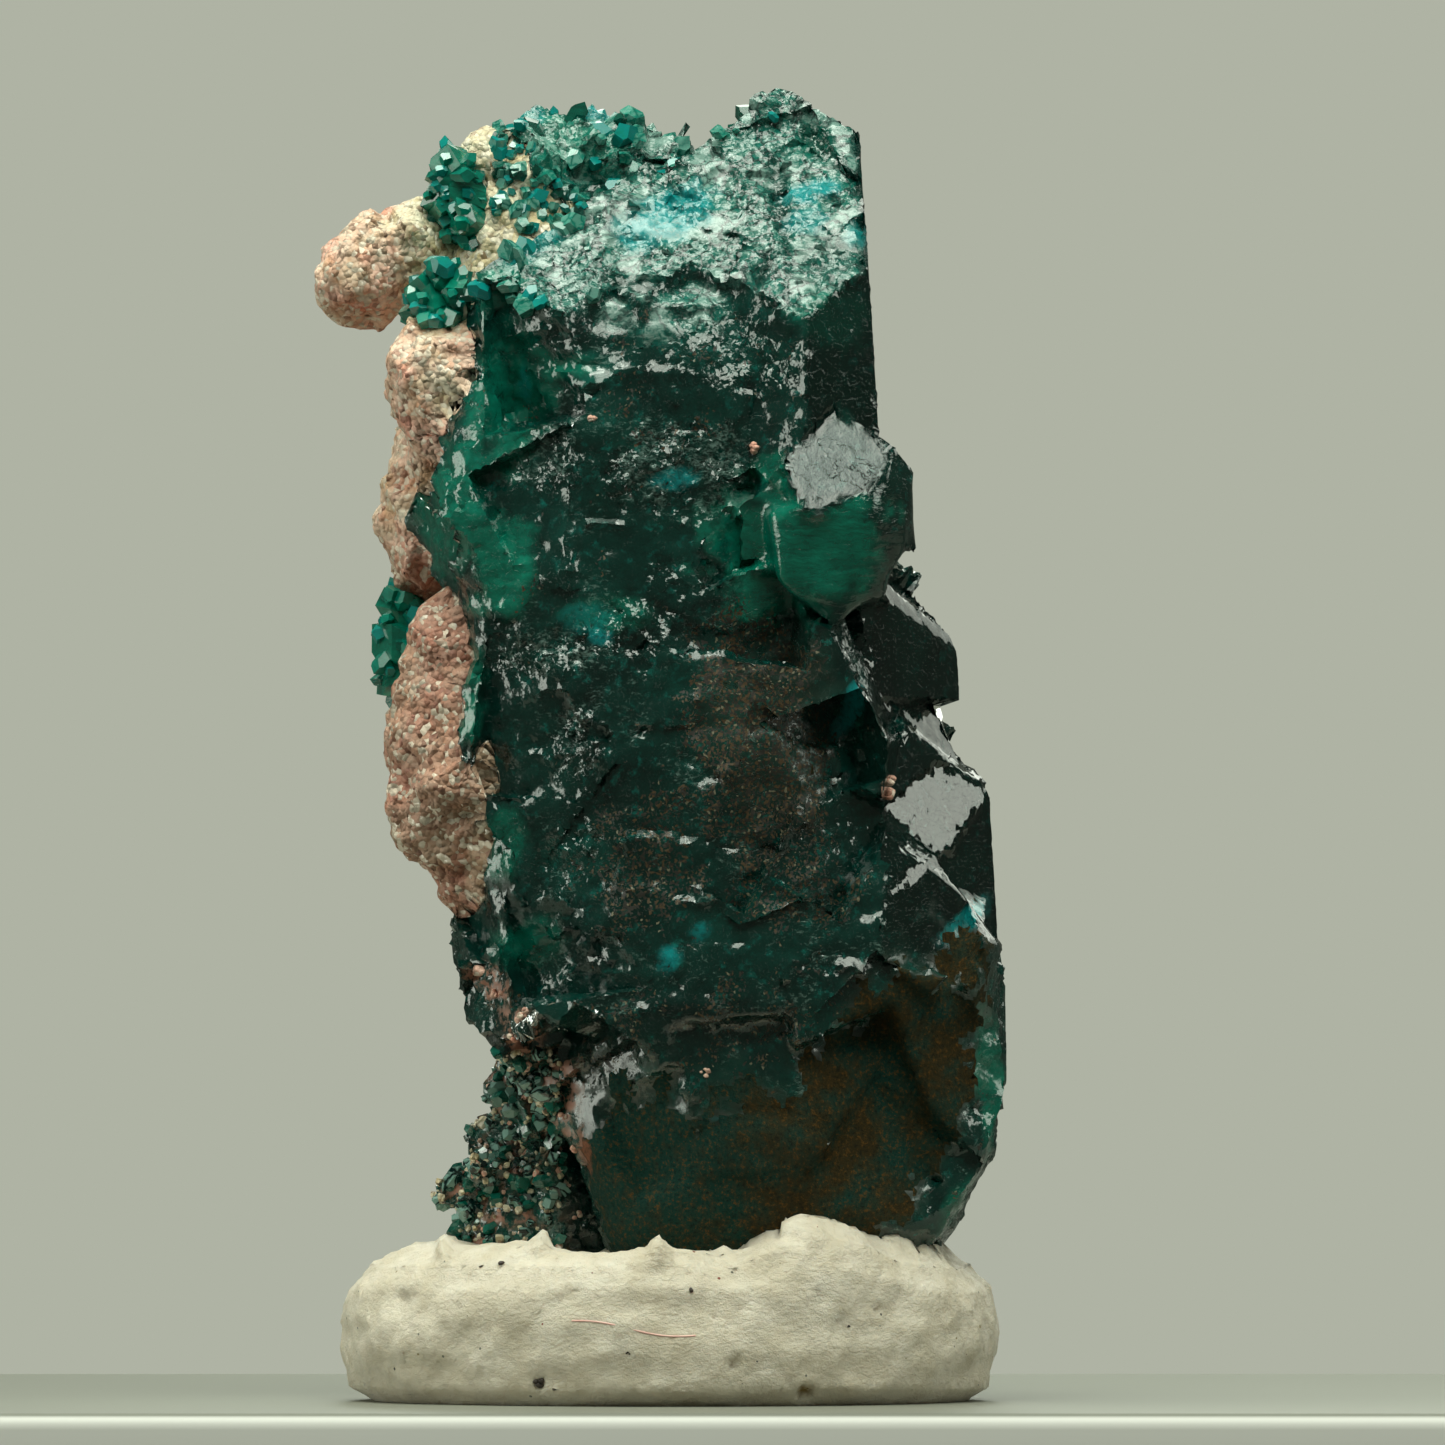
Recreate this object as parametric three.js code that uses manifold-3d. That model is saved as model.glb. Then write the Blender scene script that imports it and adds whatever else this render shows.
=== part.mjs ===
// A dioptase specimen: dark green crystals, broken across at the front, on a spine of pink and buff rock.
// It is pressed into a flat pat of putty, which holds it upright.
// Millimetres, +Z up. The origin is on the shelf, under the middle of the putty's flat underside.
// The viewer looks along +Y, so +X is the right of the specimen and -Y is its broken front.
import * as THREE from "three";
import { ConvexGeometry } from "three/addons/geometries/ConvexGeometry.js";
import { mergeVertices } from "three/addons/utils/BufferGeometryUtils.js";
import Module from "manifold-3d";

const wasm = await Module();
wasm.setup();

// Driving dimensions
const TOP = 32.0; // shelf to the tip of the tallest crystal
const PUTTY_WIDTH = 16.0;
const PUTTY_DEPTH = 13.2;
const PUTTY_HEIGHT = 3.7; // without the fold that is pushed up at the front right
const CONTACT_GAP = 0.3; // between crystals, rock and putty, where they touch
const END_FACE_SLOPE = THREE.MathUtils.degToRad(51); // an end face of dioptase against the cross-section
const MAIN_AXIS = [-0.06, 0.04, 1]; // the long direction that the large crystals share

const DIOPTASE = new THREE.MeshStandardMaterial({ color: 0x0c4a44, roughness: 0.2, metalness: 0 });
const MATRIX = new THREE.MeshStandardMaterial({ color: 0xc08f78, roughness: 0.85, metalness: 0 });
const PUTTY = new THREE.MeshStandardMaterial({ color: 0xd8d2bd, roughness: 0.6, metalness: 0 });

// A repeatable random number from 0 to 1 for each cell of a grid.
function chance(i, j, k, salt) {
  let hash = Math.imul(i, 374761393) ^ Math.imul(j, 668265263) ^ Math.imul(k, 1440662683);
  hash ^= Math.imul(salt, 1274126177);
  hash = Math.imul(hash ^ (hash >>> 13), 1103515245);
  hash = Math.imul(hash ^ (hash >>> 15), 668265263);
  return ((hash ^ (hash >>> 16)) >>> 0) / 4294967296;
}

// Smooth bumps, from -1 to 1, about one to each scale of length.
function bumps(point, scale, salt) {
  const at = point.clone().divideScalar(scale);
  const cell = at.clone().floor();
  const ease = (t) => t * t * (3 - 2 * t);
  const [u, v, w] = [ease(at.x - cell.x), ease(at.y - cell.y), ease(at.z - cell.z)];
  let sum = 0;
  for (const a of [0, 1])
    for (const b of [0, 1])
      for (const c of [0, 1]) {
        const weight = (a ? u : 1 - u) * (b ? v : 1 - v) * (c ? w : 1 - w);
        sum += weight * chance(cell.x + a, cell.y + b, cell.z + c, salt);
      }
  return 2 * sum - 1;
}

// A relief is layers of bumps: how far each rises, its scale of length, and a number that sets it apart.
const reliefOf = (layers) => (point) =>
  layers.reduce((sum, { rise, scale, salt }) => sum + rise * bumps(point, scale, salt), 0);

// A closed geometry as a solid for cutting and joining.
function solidOf(geometry) {
  const bare = geometry.index ? geometry.toNonIndexed() : geometry.clone();
  bare.deleteAttribute("normal");
  bare.deleteAttribute("uv");
  const merged = mergeVertices(bare, 1e-4);
  const mesh = new wasm.Mesh({
    numProp: 3,
    vertProperties: merged.attributes.position.array,
    triVerts: new Uint32Array(merged.index.array),
  });
  return new wasm.Manifold(mesh);
}

const joined = (solids) => solids.reduce((all, next) => all.add(next));

// The largest body of a solid, without crumbs that a cut has left loose.
function largest(solid) {
  return solid.decompose().sort((a, b) => b.volume() - a.volume())[0];
}

function meshOf(solid, name, material) {
  const cut = solid.getMesh();
  const geometry = new THREE.BufferGeometry();
  geometry.setAttribute("position", new THREE.BufferAttribute(new Float32Array(cut.vertProperties), 3));
  geometry.setIndex(new THREE.BufferAttribute(cut.triVerts, 1));
  const flat = geometry.toNonIndexed();
  flat.computeVertexNormals();
  const mesh = new THREE.Mesh(flat, material);
  mesh.name = name;
  return mesh;
}

// Joins rings of points into a closed surface, with a point in the middle of each end.
function closedRings(rings) {
  const sides = rings[0].length;
  const middle = (ring) => ring.reduce((sum, p) => sum.add(p), new THREE.Vector3()).divideScalar(sides);
  const points = [...rings.flat(), middle(rings[0]), middle(rings.at(-1))];
  const [foot, crown] = [points.length - 2, points.length - 1];
  const last = (rings.length - 1) * sides;
  const faces = [];
  for (let j = 0; j < sides; j++) {
    const k = (j + 1) % sides;
    faces.push(foot, k, j, crown, last + j, last + k);
    for (let row = 0; row < last; row += sides) {
      faces.push(row + j, row + k, row + sides + k);
      faces.push(row + j, row + sides + k, row + sides + j);
    }
  }
  return new THREE.BufferGeometry().setFromPoints(points).setIndex(faces);
}

// An upright mass is levels, each [height, left, right, front, back], and how boxy its section is.
// This gives a point of its surface, by height and by angle, and the way out there.
function pointOn({ levels, boxy }, height, angle) {
  const passed = levels.filter((level) => level[0] < height).length;
  const n = THREE.MathUtils.clamp(passed, 1, levels.length - 1);
  const share = (height - levels[n - 1][0]) / (levels[n][0] - levels[n - 1][0]);
  const level = levels[n - 1].map((value, i) => THREE.MathUtils.lerp(value, levels[n][i], share));
  const [, left, right, front, back] = level;
  const bend = (value) => Math.sign(value) * Math.abs(value) ** (2 / boxy);
  const out = new THREE.Vector3(bend(Math.cos(angle)), bend(Math.sin(angle)), 0);
  const point = new THREE.Vector3(
    (left + right) / 2 + (out.x * (right - left)) / 2,
    (front + back) / 2 + (out.y * (back - front)) / 2,
    height,
  );
  return { point, out: out.normalize() };
}

// The mass itself, as stacked rings that relief roughens. Grow makes it larger all round.
function massOf(mass, { rowHeight, sides, relief, grow = 0 }) {
  const [low, high] = [mass.levels[0][0], mass.levels.at(-1)[0]];
  const rows = Math.round((high - low) / rowHeight);
  const rings = [];
  for (let row = 0; row <= rows; row++) {
    const rise = row === 0 ? -grow : row === rows ? grow : 0;
    const ring = [];
    for (let n = 0; n < sides; n++) {
      const height = THREE.MathUtils.lerp(low, high, row / rows);
      const { point, out } = pointOn(mass, height, (2 * Math.PI * n) / sides);
      point.addScaledVector(out, relief(point) + grow);
      point.z += rise;
      ring.push(point);
    }
    rings.push(ring);
  }
  return solidOf(closedRings(rings));
}

// A rounded lump: its middle, its three half sizes, and a relief that roughens it.
function lumpOf({ middle, size, detail = 1 }, relief, grow = 0) {
  const bare = new THREE.IcosahedronGeometry(1, detail);
  bare.deleteAttribute("normal");
  bare.deleteAttribute("uv");
  const ball = mergeVertices(bare, 1e-4);
  const spots = ball.attributes.position;
  const centre = new THREE.Vector3(...middle);
  for (let n = 0; n < spots.count; n++) {
    const out = new THREE.Vector3().fromBufferAttribute(spots, n);
    const point = out.clone().multiply(new THREE.Vector3(...size)).add(centre);
    point.addScaledVector(out, relief(point) + grow);
    spots.setXYZ(n, point.x, point.y, point.z);
  }
  return solidOf(ball);
}

// A flat-faced block, from corners placed by hand.
const blockOf = (corners) => solidOf(new ConvexGeometry(corners.map((c) => new THREE.Vector3(...c))));

// The corners of the space inside planes, each given as its outward direction and its distance.
function cornersOf(planes) {
  const corners = [];
  for (let a = 0; a < planes.length; a++)
    for (let b = a + 1; b < planes.length; b++)
      for (let c = b + 1; c < planes.length; c++) {
        const [na, nb, nc] = [planes[a][0], planes[b][0], planes[c][0]];
        const crossed = nb.clone().cross(nc);
        const volume = na.dot(crossed);
        if (Math.abs(volume) < 1e-6) continue;
        const corner = crossed
          .multiplyScalar(planes[a][1])
          .addScaledVector(nc.clone().cross(na), planes[b][1])
          .addScaledVector(na.clone().cross(nb), planes[c][1])
          .divideScalar(volume);
        if (planes.every(([out, distance]) => out.dot(corner) < distance + 1e-6)) corners.push(corner);
      }
  return corners;
}

const heading = (degrees) => {
  const angle = THREE.MathUtils.degToRad(degrees);
  return new THREE.Vector3(Math.cos(angle), Math.sin(angle), 0);
};

const tiltTo = (axis) => {
  const up = new THREE.Vector3(0, 0, 1);
  return new THREE.Quaternion().setFromUnitVectors(up, new THREE.Vector3(...axis).normalize());
};

// A dioptase crystal: a six-sided prism under three end faces that meet at its tip.
// One end face looks towards facing, in degrees, where 0 is right and -90 is the viewer.
// Sides are the distances from the long axis to the prism faces, starting 30 degrees clockwise of facing.
function crystalOf({ tip, sides, length, axis = MAIN_AXIS, facing = -90 }) {
  const planes = sides.map((distance, n) => [heading(facing - 30 + 60 * n), distance]);
  for (const turn of [0, 120, 240]) {
    const out = heading(facing + turn).multiplyScalar(Math.sin(END_FACE_SLOPE));
    out.z = Math.cos(END_FACE_SLOPE);
    planes.push([out, 0]);
  }
  planes.push([new THREE.Vector3(0, 0, -1), length]);
  const tilt = tiltTo(axis);
  const place = new THREE.Vector3(...tip);
  const corners = cornersOf(planes).map((corner) => corner.applyQuaternion(tilt).add(place));
  return solidOf(new ConvexGeometry(corners));
}

// Small crystals that spread from one root, each to its own tip.
function tuftOf({ root, width, tips }) {
  const crystals = tips.map((tip, n) => {
    const reach = new THREE.Vector3(...tip).sub(new THREE.Vector3(...root));
    const radius = width * (0.75 + 0.5 * chance(n, 1, 2, 51));
    return crystalOf({
      tip,
      sides: Array.from({ length: 6 }, (_, side) => radius * (0.85 + 0.3 * chance(n, side, 3, 52))),
      length: reach.length(),
      axis: reach.toArray(),
      facing: 360 * chance(n, 4, 5, 53),
    });
  });
  return joined(crystals);
}

// A flake struck off a surface at a point: a flat block that reaches a little way in, tilted its own way.
function flakeAt({ point, out }, { width, depth, tilt }, draw) {
  const [long, wide] = [width * (0.6 + 0.8 * draw(0)), width * (0.6 + 0.8 * draw(1))];
  const thickness = 1.6;
  const flake = new THREE.BoxGeometry(long, wide, thickness);
  const lean = THREE.MathUtils.degToRad(tilt);
  flake.rotateZ(Math.PI * draw(2));
  flake.rotateX(lean * (2 * draw(3) - 1));
  flake.rotateY(lean * (2 * draw(4) - 1));
  flake.applyQuaternion(tiltTo(out.toArray()));
  const reach = thickness / 2 - depth * (0.3 + 0.7 * draw(5));
  return solidOf(flake.translate(...out.clone().multiplyScalar(reach).add(point)));
}

// Strikes flakes off a solid. SpotAt gives a point of its surface and the way out, or nothing for no flake.
function broken(solid, flakeKind, spotAt) {
  const flakes = [];
  for (let n = 0; n < flakeKind.count; n++) {
    const draw = (k) => chance(n, k, 7, flakeKind.salt);
    const spot = spotAt(draw);
    if (spot) flakes.push(flakeAt(spot, flakeKind, draw));
  }
  return solid.subtract(joined(flakes));
}

// The rock: a spine up the left of the back, with knobs that stand out of it, the smooth ones unbroken.
const SPINE = {
  boxy: 2.6,
  levels: [
    [9.2, -3.2, -1.2, 1.6, 3.4],
    [10.6, -4.0, 0.4, 0.4, 4.2],
    [12.4, -4.9, 1.2, -0.8, 4.6],
    [14.4, -5.9, 1.7, -1.6, 4.9],
    [17.0, -6.2, 1.7, -1.8, 5.0],
    [19.4, -5.6, 1.5, -1.4, 4.9],
    [21.0, -5.1, 1.3, -1.0, 4.8],
    [23.0, -5.5, 1.1, -1.0, 4.6],
    [25.2, -5.8, 0.6, -1.4, 4.2],
    [27.0, -5.7, -0.6, -1.2, 3.6],
    [28.8, -5.2, -2.4, -0.4, 2.9],
    [30.2, -4.9, -3.4, 0.2, 2.3],
  ],
};
const SMOOTH_KNOBS = [
  { middle: [-7.3, 1.4, 27.4], size: [1.35, 1.3, 1.3], detail: 2 }, // the round pink knob at the top left
  { middle: [-6.1, 1.2, 27.9], size: [1.1, 1.2, 1.15] }, // its neck
  { middle: [-5.4, -1.3, 16.0], size: [1.35, 1.6, 3.4], detail: 2 }, // the pink bulge down the left edge
];
const KNOBS = [
  { middle: [-5.5, -1.2, 24.7], size: [1.4, 1.5, 1.65] },
  { middle: [-5.4, -0.9, 23.3], size: [1.0, 1.2, 1.1] },
  { middle: [-6.0, 2.9, 21.6], size: [1.2, 1.7, 2.4] },
  { middle: [-5.0, -1.2, 13.8], size: [1.1, 1.4, 1.9] },
  { middle: [-2.2, 4.2, 17.5], size: [2.0, 1.3, 2.7] },
  { middle: [-0.4, 4.2, 13.6], size: [1.5, 1.2, 1.7] },
  { middle: [-3.4, 3.8, 24.6], size: [1.6, 1.3, 1.9] },
  { middle: [-4.5, 0.8, 30.2], size: [0.75, 0.8, 0.85] }, // the buff top end, beside the tall crystals
];
const ROCK_RELIEF = reliefOf([
  { rise: 0.36, scale: 1.7, salt: 11 },
  { rise: 0.2, scale: 0.9, salt: 12 },
]);
const ROCK_FLAKES = { count: 14, salt: 84, width: 2.1, depth: 0.36, tilt: 18 };

const lumpsOf = (knobs, grow) => joined(knobs.map((knob) => lumpOf(knob, ROCK_RELIEF, grow)));

function matrixSolid(grow) {
  const spine = massOf(SPINE, { rowHeight: 1.5, sides: 16, relief: ROCK_RELIEF, grow });
  return joined([spine, lumpsOf(SMOOTH_KNOBS, grow), lumpsOf(KNOBS, grow)]);
}

// A point of a knob, on the side that faces away from the spine's middle.
function pointOnKnob({ middle, size }, draw) {
  const out = new THREE.Vector3(2 * draw(7) - 1, 2 * draw(8) - 1, 2 * draw(9) - 1).normalize();
  const point = out.clone().multiply(new THREE.Vector3(...size)).add(new THREE.Vector3(...middle));
  return { point, out };
}

// The main mass: many crystals grown side by side, broken across at the front, with a foot in the putty.
const MASS = {
  boxy: 3.4,
  levels: [
    [2.5, -1.0, 5.6, -2.2, 2.4],
    [3.5, -1.7, 6.5, -2.9, 2.9],
    [4.7, -1.8, 7.3, -3.4, 3.3],
    [5.9, -2.2, 7.8, -3.8, 3.6],
    [7.2, -3.1, 7.9, -4.1, 3.8],
    [8.8, -4.7, 8.0, -4.3, 3.9],
    [10.1, -5.4, 8.1, -4.4, 4.0],
    [11.4, -5.5, 8.1, -4.4, 4.0],
    [12.6, -5.1, 6.9, -4.4, 4.0],
    [14.0, -5.1, 5.6, -4.4, 3.9],
    [16.6, -5.4, 5.0, -4.4, 3.8],
    [18.8, -4.7, 4.4, -4.3, 3.7],
    [20.0, -5.6, 4.0, -4.2, 3.6],
    [21.4, -6.4, 3.6, -4.2, 3.5],
    [22.6, -6.1, 3.4, -4.2, 3.4],
    [24.2, -5.2, 3.6, -4.1, 3.3],
    [26.2, -4.9, 3.9, -3.9, 3.1],
    [27.2, -4.3, 3.8, -3.1, 2.8],
    [28.2, -3.2, 3.4, -2.0, 2.4],
  ],
};
// The granular druse behind the foot, at the lower left.
const DRUSE = {
  boxy: 2.4,
  levels: [
    [3.4, -5.4, -0.4, -0.2, 3.4],
    [4.6, -5.2, -0.4, -0.2, 3.5],
    [6.2, -4.5, -0.8, 0.0, 3.4],
    [7.6, -4.0, -1.2, 0.3, 3.3],
    [8.8, -3.8, -2.2, 0.8, 2.8],
  ],
};
const MASS_RELIEF = reliefOf([
  { rise: 0.26, scale: 2.4, salt: 21 },
  { rise: 0.12, scale: 1.1, salt: 31 },
]);
const DRUSE_RELIEF = reliefOf([{ rise: 0.22, scale: 0.9, salt: 32 }]);
const BREAK_FLAKES = { count: 50, salt: 61, width: 3.3, depth: 0.5, tilt: 12 };
const ROOF_FLAKES = { count: 16, salt: 71, width: 2.4, depth: 0.2, tilt: 3.5 };

// Everything of the dioptase that reaches down into the putty.
function footSolid(grow) {
  const mass = massOf(MASS, { rowHeight: 1.7, sides: 22, relief: MASS_RELIEF, grow });
  const druse = massOf(DRUSE, { rowHeight: 1.1, sides: 12, relief: DRUSE_RELIEF, grow });
  return joined([mass, druse]);
}

// The large crystals with whole faces. The first three share the sloping roof.
const ROOF_CRYSTAL = { tip: [2.55, 0.6, TOP], sides: [4.15, 4.4, 1.95, 2.9, 3.2, 6.4], length: 13 };
const LEANING = [0.1, 0.1, 1]; // the crystals at the back right lean out a little
const LARGE_CRYSTALS = [
  ROOF_CRYSTAL,
  { tip: [-0.6, -0.9, 30.15], sides: [2.5, 2.2, 3.0, 2.8, 2.2, 2.8], length: 12 },
  { tip: [-3.0, -2.2, 28.5], sides: [1.7, 1.7, 2.6, 2.4, 1.8, 1.7], length: 9 },
  { tip: [4.4, 0.9, 21.5], sides: [2.1, 2.1, 2.2, 3.0, 3.0, 2.8], length: 8, facing: -14 },
  { tip: [4.95, 0.7, 17.9], sides: [2.3, 2.35, 2.6, 3.0, 3.0, 3.2], length: 9, facing: -16 },
  { tip: [5.2, -0.4, 14.4], sides: [2.3, 2.3, 3.0, 3.2, 3.0, 3.2], length: 7, facing: -34 },
  { tip: [2.6, 3.4, 29.2], sides: [1.3, 1.5, 1.3, 1.4, 1.6, 1.4], length: 9, axis: [0, 0.1, 1], facing: 70 },
  { tip: [3.4, 3.6, 24.6], sides: [1.3, 1.2, 1.2, 1.5, 1.6, 1.4], length: 8, axis: LEANING, facing: 40 },
  { tip: [5.3, 3.0, 20.6], sides: [1.3, 1.4, 1.3, 1.5, 1.6, 1.4], length: 7, axis: LEANING, facing: 20 },
  { tip: [5.9, 3.3, 15.8], sides: [1.5, 1.3, 1.4, 1.8, 1.7, 1.6], length: 7, axis: LEANING, facing: 34 },
  { tip: [3.6, 4.2, 17.6], sides: [1.6, 1.4, 1.5, 1.6, 1.7, 1.6], length: 8, axis: [0, 0.12, 1], facing: 80 },
  { tip: [3.2, 3.9, 11.6], sides: [1.7, 1.5, 1.6, 1.8, 1.7, 1.6], length: 7, axis: [0, 0.16, 1], facing: 95 },
  { tip: [6.2, 2.6, 10.9], sides: [1.5, 1.5, 1.4, 1.6, 1.7, 1.5], length: 6, axis: LEANING, facing: 10 },
];

// The small crystal that stands out at the front right, narrowing below to where it is rooted.
const FRONT_CRYSTAL = {
  tip: [3.93, -4.0, 24.0],
  sides: [1.3, 1.65, 1.85, 3.2, 2.8, 2.3],
  length: 3.6,
  axis: [0, -0.3, 1],
  facing: -74,
};
const FRONT_CRYSTAL_ROOT = [
  [2.3, -4.7, 21.6],
  [3.1, -5.1, 21.5],
  [4.8, -4.9, 21.4],
  [5.8, -4.0, 21.4],
  [5.7, -3.8, 20.4],
  [4.9, -4.1, 19.4],
  [4.0, -4.3, 18.7],
  [2.6, -4.6, 19.6],
  [2.2, -2.0, 21.6],
  [4.9, -2.0, 21.6],
  [4.0, -2.0, 19.0],
];

// A brown-dusted plate that stands forward of the crystals at the right, with a lobed edge.
const PLATE = [
  [0.4, -4.3, 17.8],
  [2.4, -4.6, 19.2],
  [3.9, -4.6, 18.6],
  [4.6, -4.5, 17.1],
  [5.2, -4.3, 15.9],
  [5.0, -4.4, 14.3],
  [4.7, -4.5, 13.1],
  [3.6, -4.6, 12.2],
  [1.6, -4.5, 11.5],
  [0.2, -4.2, 13.0],
  [0.4, -2.4, 19.2],
  [4.2, -2.2, 19.0],
  [5.6, -2.0, 16.0],
  [5.0, -2.2, 12.4],
  [0.6, -2.4, 11.6],
];

// The tufts of smaller crystals: behind the roof, on the druse, and low on the right side.
const JOINED_TUFTS = [
  {
    root: [-2.0, 1.8, 25.4],
    width: 1.0,
    tips: [
      [-3.7, 0.7, 31.2],
      [-3.3, 2.0, 31.6],
      [-2.3, 0.9, 31.35],
      [-1.9, 2.2, 31.65],
      [-1.0, 1.2, 31.45],
      [-0.4, 2.2, 31.2],
      [0.3, 1.2, 30.9],
      [-3.1, 3.4, 30.4],
      [-1.3, 3.8, 30.2],
      [0.5, 3.4, 29.4],
    ],
  },
  {
    root: [-2.6, 1.6, 5.4],
    width: 0.55,
    tips: [
      [-4.2, 0.9, 8.3],
      [-5.0, 1.4, 6.6],
      [-4.9, -0.1, 5.6],
      [-5.7, 0.8, 4.9],
      [-3.7, -0.6, 7.3],
      [-3.2, -0.7, 5.7],
      [-5.3, 2.4, 5.4],
      [-3.2, 3.4, 8.6],
    ],
  },
  {
    root: [4.4, 1.4, 6.2],
    width: 0.75,
    tips: [
      [6.4, 3.6, 7.6],
      [5.0, 4.6, 7.2],
      [7.0, 2.6, 6.0],
      [3.4, 4.7, 8.0],
    ],
  },
];

// A point of the mass where it is broken: the front and the left edge, but not the whole faces at the right,
// nor the thin edge that lies against the pink bulge.
function spotOnBreak(draw) {
  const angle = THREE.MathUtils.degToRad(160 + 165 * draw(8));
  const spot = pointOn(MASS, 4.6 + 21.4 * draw(7), angle);
  const onWholeFaces = spot.point.x > 2.0 && spot.point.z > 18.4;
  const onThinEdge = spot.point.x < -3.6 && spot.point.z > 13.5 && spot.point.z < 20.5;
  return onWholeFaces || onThinEdge ? null : spot;
}

// A point of the roof, which is stepped where thin layers have come away.
function spotOnRoof(draw) {
  const tilt = tiltTo(MAIN_AXIS);
  const out = heading(-90).multiplyScalar(Math.sin(END_FACE_SLOPE));
  out.z = Math.cos(END_FACE_SLOPE);
  const across = THREE.MathUtils.lerp(-6.6, 2.1, draw(8));
  const down = THREE.MathUtils.lerp(1.1, 5.0, draw(7));
  const point = new THREE.Vector3(across, -down, -down * Math.tan(END_FACE_SLOPE));
  point.applyQuaternion(tilt).add(new THREE.Vector3(...ROOF_CRYSTAL.tip));
  return { point, out: out.applyQuaternion(tilt) };
}

// A point of the rock's back and left side, or of one of its knobs.
function spotOnRock(draw) {
  if (draw(6) < 0.4) return pointOnKnob(KNOBS[Math.floor(KNOBS.length * draw(10))], draw);
  return pointOn(SPINE, 10 + 19 * draw(7), THREE.MathUtils.degToRad(70 + 130 * draw(8)));
}

const brokenRock = broken(matrixSolid(0), ROCK_FLAKES, spotOnRock);
const matrix = largest(brokenRock.add(lumpsOf(SMOOTH_KNOBS, 0)));

const massAndPlate = joined([footSolid(0), ...LARGE_CRYSTALS.map(crystalOf), blockOf(PLATE)]);
const withBreak = broken(massAndPlate, BREAK_FLAKES, spotOnBreak);
const withRoof = broken(withBreak, ROOF_FLAKES, spotOnRoof);
const tufts = JOINED_TUFTS.map(tuftOf);
const grownDioptase = joined([withRoof, crystalOf(FRONT_CRYSTAL), blockOf(FRONT_CRYSTAL_ROOT), ...tufts]);
const dioptase = largest(grownDioptase.subtract(matrixSolid(CONTACT_GAP)));

// Clusters that grew on the rock, apart from the main mass.
const CLUSTERS = {
  cluster_top_left: {
    root: [-5.0, 0.8, 28.8],
    width: 0.42,
    tips: [
      [-5.4, -0.1, 30.5],
      [-5.0, -0.2, 29.9],
      [-5.8, 0.2, 29.7],
      [-4.7, -0.6, 28.6],
    ],
  },
  cluster_below_knob: {
    root: [-5.6, -0.6, 26.6],
    width: 0.42,
    tips: [
      [-6.1, -1.7, 27.2],
      [-5.7, -2.1, 26.4],
      [-5.0, -2.3, 26.9],
      [-5.3, -2.0, 27.5],
    ],
  },
  cluster_left: {
    root: [-5.9, 2.6, 18.0],
    width: 0.5,
    tips: [
      [-7.3, 2.6, 18.9],
      [-7.2, 3.2, 17.2],
      [-7.0, 2.5, 19.8],
    ],
  },
  cluster_back_upper: {
    root: [-3.6, 4.0, 22.0],
    width: 0.6,
    tips: [
      [-4.0, 5.9, 22.9],
      [-3.0, 6.1, 22.5],
      [-3.4, 6.1, 21.4],
    ],
  },
  cluster_back_lower: {
    root: [-3.4, 3.8, 13.4],
    width: 0.55,
    tips: [
      [-4.0, 5.8, 14.2],
      [-3.0, 6.0, 13.8],
      [-3.4, 5.8, 12.7],
    ],
  },
};
const clusterSeat = matrixSolid(CONTACT_GAP).add(grownDioptase);
const clusters = Object.entries(CLUSTERS).map(([name, tuft]) =>
  meshOf(largest(tuftOf(tuft).subtract(clusterSeat)), name, DIOPTASE),
);

// The putty: a flat pat, pushed up round the foot of the specimen, with a fold at the front right.
const PUTTY_FOLD = { x: 3.1, y: -5.0, height: 0.95, leftWidth: 1.1, rightWidth: 2.1, depth: 1.9 };
const PUTTY_OUTWARD_RELIEF = reliefOf([{ rise: 0.16, scale: 2.3, salt: 41 }]);
const PUTTY_UPWARD_RELIEF = reliefOf([{ rise: 0.2, scale: 1.9, salt: 42 }]);

// How high the fold stands at a point, from 0 to 1.
function foldAt({ x, y }) {
  const width = x < PUTTY_FOLD.x ? PUTTY_FOLD.leftWidth : PUTTY_FOLD.rightWidth;
  return Math.exp(-(((x - PUTTY_FOLD.x) / width) ** 2) - ((y - PUTTY_FOLD.y) / PUTTY_FOLD.depth) ** 2);
}

function puttySolid() {
  // Each ring's reach, as a share of the half width, and its rise, as a share of the height.
  const profile = [
    [0.9, 0],
    [0.97, 0.1],
    [1.0, 0.34],
    [1.0, 0.54],
    [0.975, 0.74],
    [0.92, 0.9],
    [0.82, 0.99],
    [0.68, 1.02],
    [0.5, 0.96],
    [0.25, 0.9],
  ];
  const sides = 36;
  const rings = profile.map(([reach, rise]) => {
    const ring = [];
    for (let n = 0; n < sides; n++) {
      const out = heading((360 * n) / sides);
      const point = new THREE.Vector3(PUTTY_WIDTH / 2, PUTTY_DEPTH / 2, 0).multiply(out).multiplyScalar(reach);
      point.z = rise * (PUTTY_HEIGHT + PUTTY_FOLD.height * foldAt(point));
      if (rise > 0) {
        point.addScaledVector(out, PUTTY_OUTWARD_RELIEF(point));
        point.z += rise * PUTTY_UPWARD_RELIEF(point);
      }
      ring.push(point);
    }
    return ring;
  });
  return solidOf(closedRings(rings));
}
const putty = puttySolid().subtract(footSolid(CONTACT_GAP));

export default new THREE.Group().add(
  meshOf(dioptase, "dioptase_crystals", DIOPTASE),
  meshOf(matrix, "matrix", MATRIX),
  ...clusters,
  meshOf(putty, "putty_pat", PUTTY),
);
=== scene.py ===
import math
import random

import bmesh
import bpy
from mathutils import Matrix, Vector, noise
from mathutils.bvhtree import BVHTree


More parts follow.
